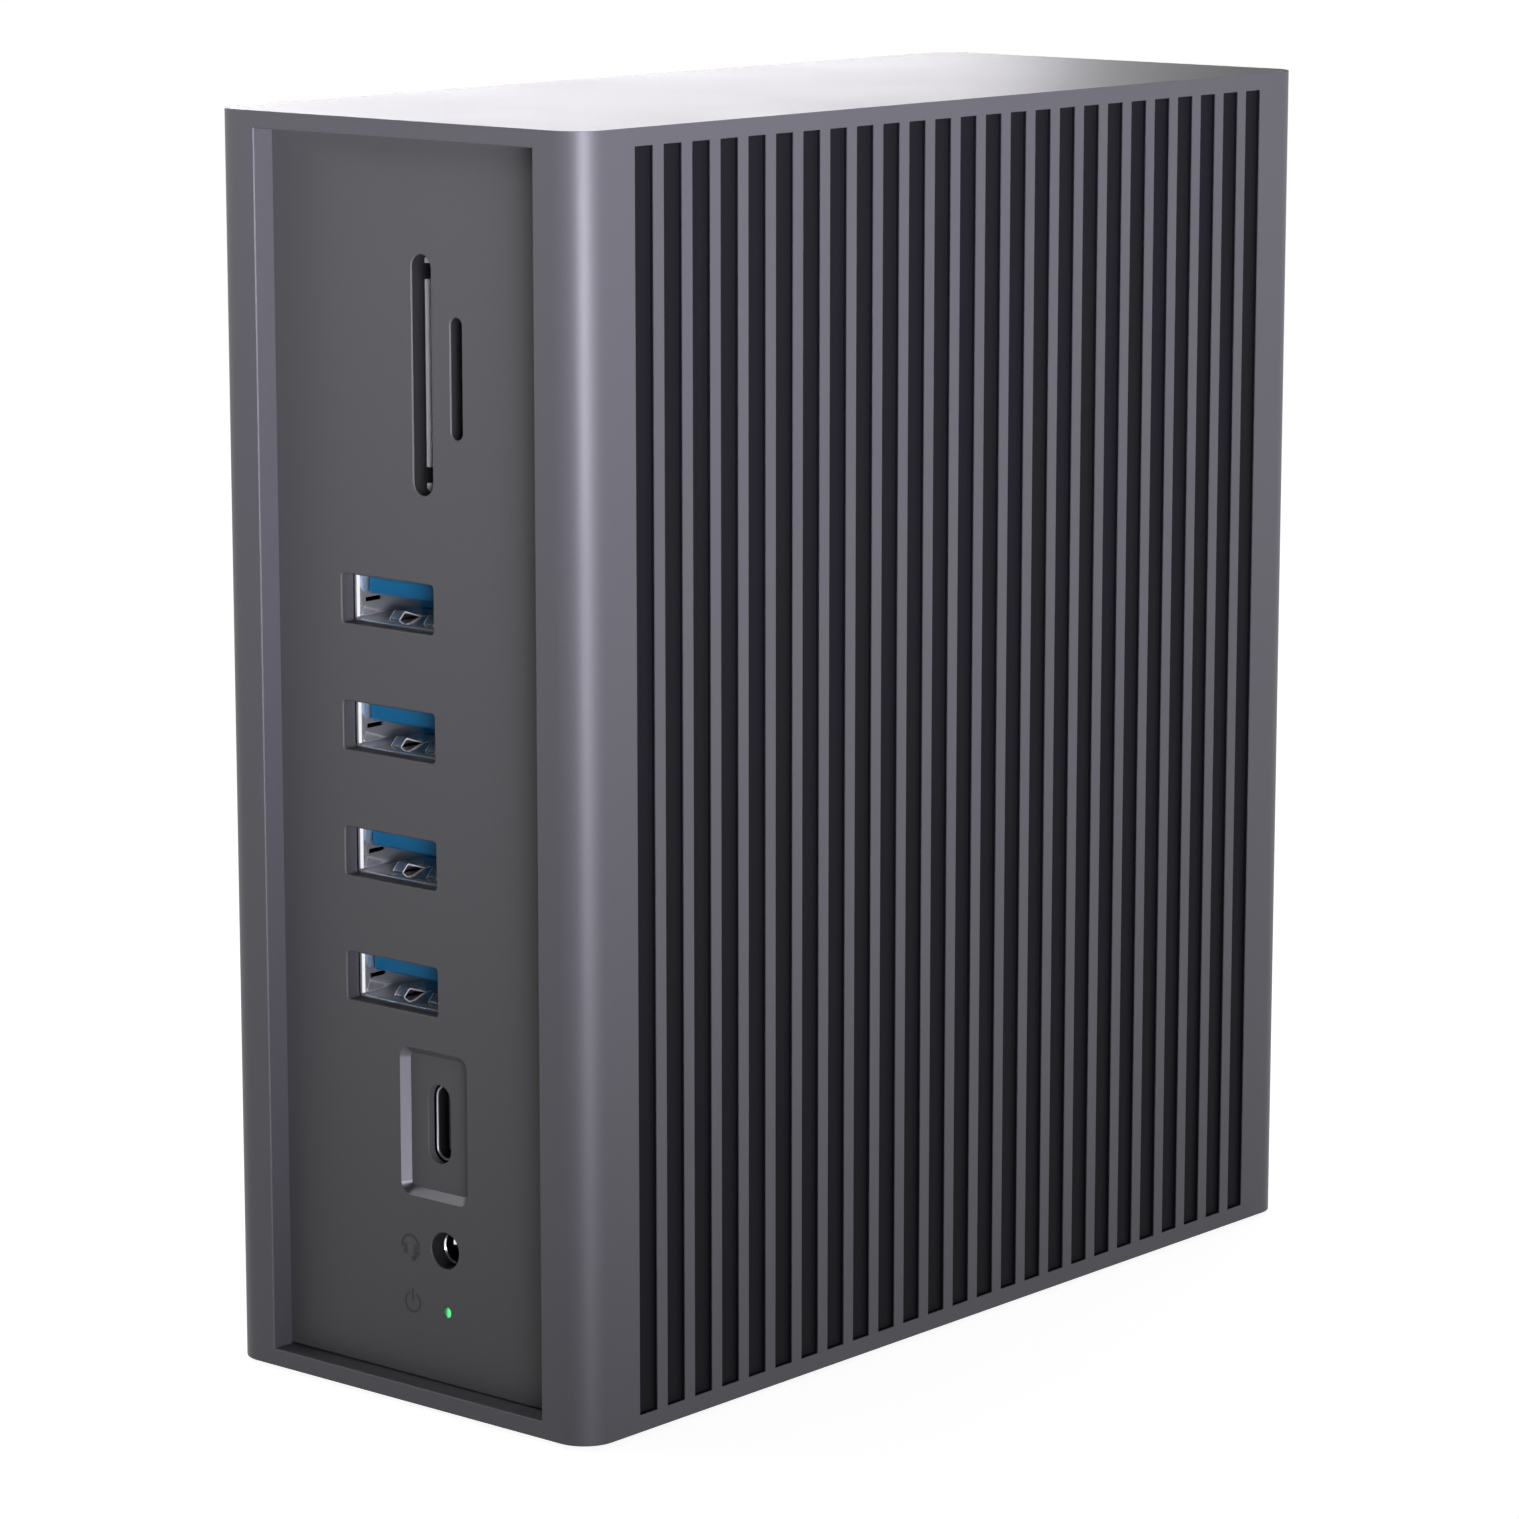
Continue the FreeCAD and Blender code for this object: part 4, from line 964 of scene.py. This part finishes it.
def leaf(build, line, middle, wide, floor_z, upward):
    """A bent strip of sheet that follows a line of (distance behind the mouth, rise) points."""
    corners = ((-1, 0), (1, 0), (1, 1), (-1, 1))
    sections = []
    for along, rise in line:
        y = MOUTH_Y + along
        z = floor_z + upward * rise
        sections.append([
            build.verts.new((middle + a * wide / 2, y, z - upward * b * SPRING_SHEET)) for a, b in corners
        ])
    bar(build, sections)


build = bmesh.new()
# Painted highlight: thin near-white strips along both edges of each leaf.
edges = bmesh.new()
glint_out = (SPRING_WIDE + GLINT_STRIP_WIDE) / 2
for middle in spring_places:
    for upward, wall in ((1, FLAT_LOW.z + SHEET), (-1, FLAT_HIGH.z - SHEET)):
        leaf(build, SPRING_LINE, middle, SPRING_WIDE, wall, upward)
        for side in SIDES:
            leaf(edges, SPRING_LINE, middle + side * glint_out, GLINT_STRIP_WIDE, wall, upward)
claim(make_copies("flat_springs", build, sheet_steel, FLATS, DOWN), "socket_steel")
claim(make_copies("spring_edges", edges, painted_spring_glint, FLATS, DOWN), "socket_steel")

# %% Flat socket tongues
TONGUE = (11.6, 1.9, 0.2)
NOSE = (11.1, 1.4, 0.1)
NOSE_LONG = 0.25
TONGUE_DROP = 0.35
TONGUE_INSET = 1.0
BLOCK_LONG = 4.0
BLOCK_EDGE = 0.1
BLOCK_CORNER = 0.2
BASE_CORNER = 0.3
base_at, base_wide, _ = seen("flat_tongue_1")
base_back = box_mm("flat_tongue_1")[1].y
tongue_at = (FLAT_AT[0], FLAT_HIGH.z - SHEET - TONGUE_DROP - TONGUE[1] / 2)
tongue_front = MOUTH_Y + TONGUE_INSET
block_front = SHELL_BACK - BLOCK_LONG
block_full = (inner[0], inner[1], BLOCK_CORNER)
block_nose = (inner[0] - BLOCK_EDGE, inner[1] - BLOCK_EDGE, BLOCK_CORNER)
base = (base_wide, FLAT_TALL, BASE_CORNER)
build = bmesh.new()
closed_stack(build, tongue_at, [
    (NOSE, tongue_front), (TONGUE, tongue_front + NOSE_LONG), (TONGUE, block_front + BLOCK_EDGE),
])
closed_stack(build, FLAT_AT, [
    (block_nose, block_front), (block_full, block_front + BLOCK_EDGE), (block_full, SHELL_BACK + SUNK),
])
closed_stack(build, (base_at[0], FLAT_AT[1]), [(base, SHELL_BACK), (base, base_back)])
tongues = make_copies("flat_tongues", build, blue_plastic, FLATS, DOWN)
claim(tongues, "blue_tongue", *[f"flat_tongue_{n + 1}" for n in range(FLATS)])

# %% [markdown]
# ## The small oval sockets
# A seamless oval shell stands behind the dish, with a thin black tongue inside it, and a second one like
# it sits at the back for the lead to the computer. Both shells are stacks with a rounded lip; the mouth
# faces front or back. A black lining paints their insides dark, as painted shade.

# %% Oval sockets
OVAL_SHEET = 0.3
LIP = 0.1


def oval_shell(name, node, mouth_y, inward):
    """A seamless oval tube whose lip is rounded at the mouth."""
    at, wide, tall = seen(node)
    low, high = box_mm(node)
    back = mouth_y + inward * (high.y - low.y)
    lip = mouth_y + inward * LIP
    outer = (wide, tall, wide / 2)
    inner = grow(outer, -OVAL_SHEET)
    build = bmesh.new()
    tube(build, at, [
        (inner, back), (inner, lip), (grow(inner, LIP), mouth_y), (grow(outer, -LIP), mouth_y),
        (outer, lip), (outer, back),
    ])
    add_piece(name, build, oval_steel, "socket_steel", node)


oval_shell("front_oval", "front_oval_shell", box_mm("front_oval_shell")[0].y, 1)
oval_shell("host_oval", "host_oval_shell", box_mm("host_oval_shell")[1].y, -1)

# %% Oval linings
# Painted shade: a thin black lining inside each oval shell.
build = bmesh.new()
for node, front_gap, back_gap in (("front_oval_shell", 2 * LIP, 0.0), ("host_oval_shell", 0.0, 2 * LIP)):
    at, wide, tall = seen(node)
    low, high = box_mm(node)
    bore = grow((wide, tall, wide / 2), -OVAL_SHEET)
    front, back = low.y + front_gap, high.y - back_gap
    tube(build, at, [
        (grow(bore, -LINING_GAP), front), (grow(bore, -LINING), front),
        (grow(bore, -LINING), back), (grow(bore, -LINING_GAP), back),
    ])
add_piece("oval_linings", build, black_plastic, "socket_plastic")

# %% [markdown]
# ## Audio socket and status light
# The audio socket shows a plated sleeve just behind the panel's hole, and deep inside the edge of a
# contact spring. The light is a clear pipe whose domed tip fills its hole; it glows green, brighter on
# the side that faces its lamp.

# %% Audio sleeve
SLEEVE_BEVEL = 0.2
AUDIO_SPRING = ((-1.95, 3.3), (-1.35, 3.8), (-1.95, 4.3))
AUDIO_SPRING_ENDS = (-0.3, 0.9)
build = bmesh.new()
tube(build, AUDIO_AT, [
    (PLUG_BORE, AUDIO_HIGH.y), (PLUG_BORE, AUDIO_LOW.y + SLEEVE_BEVEL),
    (grow(PLUG_BORE, SLEEVE_BEVEL), AUDIO_LOW.y),
    (disc(AUDIO_WIDE), AUDIO_LOW.y), (disc(AUDIO_WIDE), AUDIO_HIGH.y),
])
ends = []
for rise in AUDIO_SPRING_ENDS:
    z = AUDIO_AT[1] + rise
    ends.append([build.verts.new((AUDIO_AT[0] + x, PANEL_FACE + y, z)) for x, y in AUDIO_SPRING])
bar(build, ends)
add_piece("audio_ring", build, bright_steel, "audio_sleeve", "audio_sleeve")

# %% Lit green
ROD_GAP = 0.05
ROD = LIGHT_HOLE[0] - 2 * ROD_GAP
GLOW_STRENGTH = 0.8
PIPE_ROUGH = 0.2
LIT = (0.06, 0.80, 0.22, 1.0)
UNLIT = (0.004, 0.070, 0.020, 1.0)
sweep_ends = {"From Min": (LIGHT_AT[0] - ROD / 6) * MM, "From Max": (LIGHT_AT[0] + ROD / 4) * MM}
lit_green, tree, output = new_material("lit_green")
shader = add_node(
    tree, "ShaderNodeBsdfPrincipled", (600, 0), {"Roughness": PIPE_ROUGH, "Emission Strength": GLOW_STRENGTH},
)
where = add_node(tree, "ShaderNodeTexCoord", (-600, 0))
apart = add_node(tree, "ShaderNodeSeparateXYZ", (-400, 0))
sweep = add_node(tree, "ShaderNodeMapRange", (-200, 0), sweep_ends, interpolation_type="SMOOTHSTEP")
ramp = add_node(tree, "ShaderNodeMix", (100, 0), {"A": UNLIT, "B": LIT}, data_type="RGBA")
wire(tree, [
    (where, "Object", apart, 0), (apart, "X", sweep, "Value"), (sweep, "Result", ramp, "Factor"),
    (ramp, "Result", shader, "Base Color"), (ramp, "Result", shader, "Emission Color"),
    (shader, 0, output, "Surface"),
])
print("light", round(ROD, 2), "mm across")

# %% Light pipe
DOME_DEEP = 0.12
DOME_STEPS = 4
build = bmesh.new()
rod = disc(ROD)
collar = disc(PIPE_WIDE)
shares = [(n + 1) / DOME_STEPS for n in range(DOME_STEPS)]
dome = [(grow(rod, -ROD / 2 * (1 - s)), PIPE_LOW.y + DOME_DEEP * s * s) for s in shares]
closed_stack(build, LIGHT_AT, dome + [(rod, PANEL_BACK), (collar, PANEL_BACK), (collar, PIPE_HIGH.y)])
add_piece("status_light", build, lit_green, "light_pipe", "light_pipe")

# %% [markdown]
# ## Printed signs
# A small headset beside the audio socket and a power sign beside the light are printed in dark ink. They
# could be drawn in the panel's material, but a thin layer of real shape stays crisp at any distance: each
# stroke is a ribbon with a little thickness that lies on the panel's face.

# %% Sign helpers
INK_THICK = 0.03
build = bmesh.new()


def stroke(points, wide):
    """A closed ribbon along (x, z) points on the panel's face."""
    front, back = PANEL_FACE - INK_THICK, PANEL_FACE + INK_THICK
    sections = []
    for i, point in enumerate(points):
        ahead = Vector(points[min(i + 1, len(points) - 1)])
        behind = Vector(points[max(i - 1, 0)])
        run = (ahead - behind).normalized()
        side = Vector((-run.y, run.x)) * wide / 2
        left, right = Vector(point) + side, Vector(point) - side
        sections.append([
            build.verts.new((left.x, front, left.y)), build.verts.new((right.x, front, right.y)),
            build.verts.new((right.x, back, right.y)), build.verts.new((left.x, back, left.y)),
        ])
    bar(build, sections)


def arc(centre, radius, first, last, steps):
    """Points of an arc, angles in degrees from +X toward +Z."""
    angles = [math.radians(first + (last - first) * step / steps) for step in range(steps + 1)]
    return [(centre[0] + radius * math.cos(a), centre[1] + radius * math.sin(a)) for a in angles]


def beside(sign, *offsets):
    """Points given by their offsets from a sign's middle."""
    return [(sign[0] + x, sign[1] + z) for x, z in offsets]


print("ink", INK_THICK, "mm thick")

# %% Signs
# Each arc: radius, first and last angle in degrees, steps.
HEADSET = (-1.7, 17.9)
BAND_ARC = (1.3, -8, 188, 20)
BAND_WIDE = 0.31
PAD_OUT = 0.78
PAD_ENDS = (-0.95, 0.30)
PAD_WIDE = 0.50
BOOM = (0.3, -0.35)
BOOM_ARC = (1.0, 0, -70, 8)
MICROPHONE = ((0.2, -1.42), (0.75, -1.28))
MICROPHONE_WIDE = 0.6
POWER = (-1.4, 11.4)
POWER_ARC = (1.15, 118, 422, 28)
POWER_BAR = ((0.0, 0.15), (0.0, 1.55))
POWER_WIDE = 0.24
stroke(arc(HEADSET, *BAND_ARC), BAND_WIDE)
for side in SIDES:
    stroke(beside(HEADSET, *[(side * PAD_OUT, z) for z in PAD_ENDS]), PAD_WIDE)
stroke(arc(beside(HEADSET, BOOM)[0], *BOOM_ARC), BAND_WIDE)
stroke(beside(HEADSET, *MICROPHONE), MICROPHONE_WIDE)
stroke(arc(POWER, *POWER_ARC), POWER_WIDE)
stroke(beside(POWER, *POWER_BAR), POWER_WIDE)
add_piece("printed_signs", build, ink, "front_panel")

# %% [markdown]
# ## Feet and back
# Four rubber discs are let into the underside. The back is closed by a plate with cut-outs for the
# network, video, computer and power sockets, held by four screws. Feet and screws are units for the
# copies tree.

# %% Feet
# Each row of the profile: how far inside the full disc, and how far above the lowest point.
FOOT_PROFILE = ((1.2, 0.12), (0.9, 0.0), (0.3, 0.0), (0.08, 0.1), (0.0, 0.3))
foot = disc(FOOT_WIDE)
build = bmesh.new()
stations = [(grow(foot, -inset), FOOT_LOW.z + rise) for inset, rise in FOOT_PROFILE]
closed_stack(build, FOOT_AT, stations + [(foot, FOOT_HIGH.z)], "Z")
feet = make_copies("feet", build, rubber, 2, (-2 * FOOT_AT[0], 0.0, 0.0), 2, (0.0, -2 * FOOT_AT[1], 0.0))
claim(feet, "foot", *[f"foot_{n + 1}" for n in range(len(seats))])

# %% Rear panel
REAR_GAP = 0.3
REAR_CORNER = 0.4
REAR_EDGE = 0.2
build = bmesh.new()
back_holes = []
for node in ("network_body", "video_shell_1", "video_shell_2", "power_inlet"):
    at, wide, tall = seen(node)
    back_holes.append((at, (wide + 2 * REAR_GAP, tall + 2 * REAR_GAP, REAR_CORNER)))
back_holes.append((seen("host_oval_shell")[0], oval_mouth))
back_holes += [(place, BOSS_BORE) for place in boss_places]
plate = (REAR_HIGH.x - REAR_LOW.x, REAR_HIGH.z - REAR_LOW.z, PLATE_CORNER)
plate_at = (0.0, (REAR_LOW.z + REAR_HIGH.z) / 2)
edge = stack(build, plate_at, [
    (plate, REAR_LOW.y), (plate, REAR_HIGH.y - REAR_EDGE), (grow(plate, -REAR_EDGE), REAR_HIGH.y),
])
rims = []
for at, shape in back_holes:
    rims.append(stack(build, at, [
        (shape, REAR_LOW.y), (shape, REAR_HIGH.y - CHAMFER), (grow(shape, CHAMFER), REAR_HIGH.y),
    ]))
cap(build, [edge[0]] + [loops[0] for loops in rims])
cap(build, [edge[-1]] + [loops[-1] for loops in rims])
add_piece("back_plate", build, rear_grey, "rear_panel", "rear_panel")

# %% Screws
SCREW_AT = boss_places[0]
SCREW_LOW, SCREW_HIGH = box_mm("rear_screws")
SHANK = disc(2.8)
SHANK_TIP = 0.4
HEAD = disc(5.0)
# Each row of the head: how far inside its full width, and how far below its top.
HEAD_PROFILE = ((0.0, 0.6), (0.18, 0.22), (0.55, 0.0))
DRIVE = (1.8, 1.8, 0.15)
DRIVE_BEVEL = 0.12
DRIVE_DEEP = 0.9
top = SCREW_HIGH.y
shank = [(grow(SHANK, -SHANK_TIP), SCREW_LOW.y), (SHANK, SCREW_LOW.y + SHANK_TIP), (SHANK, REAR_HIGH.y)]
head = [(HEAD, REAR_HIGH.y)] + [(grow(HEAD, -inset), top - below) for inset, below in HEAD_PROFILE]
build = bmesh.new()
loops = stack(build, SCREW_AT, shank + head)
drive = stack(build, SCREW_AT, [
    (grow(DRIVE, DRIVE_BEVEL), top), (DRIVE, top - DRIVE_BEVEL), (DRIVE, top - DRIVE_DEEP),
])
cap(build, [loops[0]])
cap(build, [loops[-1], drive[0]])
cap(build, [drive[-1]])
screws = make_copies("back_screws", build, dark_steel, 2, (2 * BOSS_X, 0.0, 0.0), 2, (0.0, 0.0, 2 * BOSS_Z))
claim(screws, "screw", "rear_screws")

# %% [markdown]
# ## The rear sockets
# The network socket is a plated box with a stepped mouth, black inside, and eight contacts along one
# wall. The two video sockets are folded shells round a thin tongue with rows of contacts, and the power
# inlet is a moulded block with a spring sleeve in its bore and a round-nosed pin. The mouth of the
# network socket isn't a rounded rectangle, so it has its own outline.

# %% Network socket
NET_LOW, NET_HIGH = box_mm("network_body")
NET_AT, NET_WIDE, NET_TALL = seen("network_body")
NET_CORNER = 0.4
NET_MOUTH_SHIFT = 0.8
NET_MOUTH_X = NET_AT[0] - NET_MOUTH_SHIFT
NET_DEEP = 14.0
NET_RIM = 0.3
BODY_EDGE = 0.25
HALF_MOUTH = (4.0, 5.9)
KEY_REACH = 6.0
KEY_HALF = 3.1


def key_loop(build, by, level):
    """The stepped mouth, moved inwards all round, at a level along Y."""
    wide, tall = HALF_MOUTH[0] - by, HALF_MOUTH[1] - by
    reach, key = KEY_REACH - by, KEY_HALF - by
    corners = (
        (-wide, -tall), (wide, -tall), (wide, -key), (reach, -key),
        (reach, key), (wide, key), (wide, tall), (-wide, tall),
    )
    return [build.verts.new((NET_MOUTH_X + a, level, NET_AT[1] + b)) for a, b in corners]


def open_body(build, at, shape, low, high, mouth):
    """A box with a softened rear edge and a blind mouth, whose loops run from the rear face inwards."""
    sides = stack(build, at, [(shape, low), (shape, high - BODY_EDGE), (grow(shape, -BODY_EDGE), high)])
    skin(build, mouth)
    cap(build, [sides[0]])
    cap(build, [sides[-1], mouth[0]])
    cap(build, [mouth[-1]])


build = bmesh.new()
net_steps = ((-NET_RIM, 0.0), (0.0, NET_RIM), (0.0, NET_DEEP))
mouth = [key_loop(build, by, NET_HIGH.y - deep) for by, deep in net_steps]
open_body(build, NET_AT, (NET_WIDE, NET_TALL, NET_CORNER), NET_LOW.y, NET_HIGH.y, mouth)
add_piece("network_shield", build, shield_steel, "shield", "network_body")

# %% Network lining
NET_LINING = 0.12
NET_LINING_INSET = 0.8
build = bmesh.new()
front, end = NET_HIGH.y - NET_LINING_INSET, NET_HIGH.y - NET_DEEP + LINING_GAP
lining_steps = ((LINING_GAP, end), (LINING_GAP, front), (NET_LINING, front), (NET_LINING, end + NET_LINING))
lining = [key_loop(build, by, level) for by, level in lining_steps]
skin(build, lining)
cap(build, [lining[0]])
cap(build, [lining[-1]])
add_piece("network_lining", build, black_plastic, "socket_plastic")

# %% Video sockets
VIDEO_LOW, VIDEO_HIGH = box_mm("video_shell_1")
VIDEO_AT, VIDEO_WIDE, VIDEO_TALL = seen("video_shell_1")
VIDEOS = 2
VIDEO_STEP = (0.0, 0.0, box_mm("video_shell_2")[0].z - VIDEO_LOW.z)
VIDEO_SHEET = 0.4
VIDEO_LIP = 0.15
VIDEO_CORNER = 0.6
outer = (VIDEO_WIDE, VIDEO_TALL, VIDEO_CORNER)
inner = grow(outer, -VIDEO_SHEET)
lip_end = VIDEO_HIGH.y - VIDEO_LIP
build = bmesh.new()
tube(build, VIDEO_AT, [
    (inner, VIDEO_LOW.y), (inner, lip_end), (grow(inner, VIDEO_LIP), VIDEO_HIGH.y),
    (grow(outer, -VIDEO_LIP / 2), VIDEO_HIGH.y), (outer, lip_end), (outer, VIDEO_LOW.y),
])
video_shells = make_copies("video_shells", build, shield_steel, VIDEOS, VIDEO_STEP)
claim(video_shells, "socket_steel", "video_shell_1", "video_shell_2")

# %% Video contacts
TONGUE_HALF = 0.65
CONTACTS = 10
CONTACT_PITCH = 1.0
CONTACT_HALF_THICK = 0.05
CONTACT_LONG = 5.5
CONTACT_TALL = 0.45
CONTACT_INSET = 0.4
tip = box_mm("video_tongue_1")[1].y - CONTACT_INSET
first_z = VIDEO_AT[1] - CONTACT_PITCH * (CONTACTS - 1) / 2
build = bmesh.new()
for right in SIDES:
    face = VIDEO_AT[0] + right * TONGUE_HALF
    low = (face - CONTACT_HALF_THICK, tip - CONTACT_LONG, first_z - CONTACT_TALL / 2)
    block(build, low, (face + CONTACT_HALF_THICK, tip, first_z + CONTACT_TALL / 2))
contacts = make_copies(
    "video_contacts", build, gilt, CONTACTS, (0.0, 0.0, CONTACT_PITCH), VIDEOS, VIDEO_STEP,
)
claim(contacts, "contact")

# %% Power inlet
INLET_LOW, INLET_HIGH = box_mm("power_inlet")
PIN_LOW, PIN_HIGH = box_mm("power_pin")
INLET_AT, INLET_WIDE, INLET_TALL = seen("power_inlet")
INLET_CORNER = 0.5
INLET_BORE = disc(6.4)
INLET_RIM = 0.35
build = bmesh.new()
inlet_steps = (
    (grow(INLET_BORE, INLET_RIM), INLET_HIGH.y), (INLET_BORE, INLET_HIGH.y - INLET_RIM),
    (INLET_BORE, PIN_LOW.y),
)
mouth = [ring(build, INLET_AT, shape, level) for shape, level in inlet_steps]
open_body(build, INLET_AT, (INLET_WIDE, INLET_TALL, INLET_CORNER), INLET_LOW.y, INLET_HIGH.y, mouth)
add_piece("inlet_body", build, black_plastic, "socket_plastic", "power_inlet")

# %% Inlet sleeve and pin
SLEEVE_THICK = 0.25
SLEEVE_INSET = 2.0
SLEEVE_CLEAR = 0.1
# Each row of the pin's nose: how far inside its full width, and how far before its end.
PIN_NOSE = ((0.0, 0.7), (0.15, 0.3), (0.45, 0.08), (0.8, 0.0))
front, end = INLET_HIGH.y - SLEEVE_INSET, PIN_LOW.y + SLEEVE_CLEAR
sleeve_out, sleeve_in = grow(INLET_BORE, -LINING_GAP), grow(INLET_BORE, -SLEEVE_THICK)
build = bmesh.new()
tube(build, INLET_AT, [(sleeve_out, end), (sleeve_out, front), (sleeve_in, front), (sleeve_in, end)])
add_piece("inlet_sleeve", build, shield_steel, "contact")
build = bmesh.new()
pin = disc(PIN_HIGH.x - PIN_LOW.x)
nose = [(grow(pin, -inset), PIN_HIGH.y - before) for inset, before in PIN_NOSE]
closed_stack(build, INLET_AT, [(pin, PIN_LOW.y)] + nose)
add_piece("inlet_pin", build, gilt, "contact", "power_pin")

# %% [markdown]
# ## The rest of the solids
# What sits deeper inside keeps its CAD shape: the card sockets, the contacts and tongues within the
# sockets, and the board with its chips, coil, capacitors and heat sink. Each still gets a real finish, by
# the slot that the record names. The covers of the card sockets lie in deep shade behind their slots,
# and their steel is painted darker than the other sheet as painted shade.

# %% Finishes for the CAD solids
FINISH_OF_SLOT = {
    "sleeve": anodised, "front_panel": panel_grey, "rear_panel": rear_grey, "foot": rubber,
    "screw": dark_steel, "board": board_green, "socket_plastic": black_plastic, "card_frame": pale_plastic,
    "socket_steel": sheet_steel, "dark_tongue": black_plastic, "blue_tongue": blue_plastic, "contact": gilt,
    "audio_sleeve": bright_steel, "light_pipe": lit_green, "chip": chip_black, "thermal_pad": pad_grey,
    "heat_sink": plain_aluminium, "coil": ferrite, "can": plain_aluminium, "shield": shield_steel,
    "lamp": lamp_white,
}
slot_of = {row["node"]: row["material_slot"] for row in frame["record"]["subparts"]}
# Painted shade: the card covers get the darkened steel.
for name, item in nodes.items():
    item.data.materials.clear()
    item.data.materials.append(shaded_card_steel if "card_cover" in name else FINISH_OF_SLOT[slot_of[name]])
print(len(nodes), "solids have a finish from", len(FINISH_OF_SLOT), "slots")

# %% Size of the whole station
low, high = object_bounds()
print("box", [round((b - a) / MM, 2) for a, b in zip(low, high)], "mm")
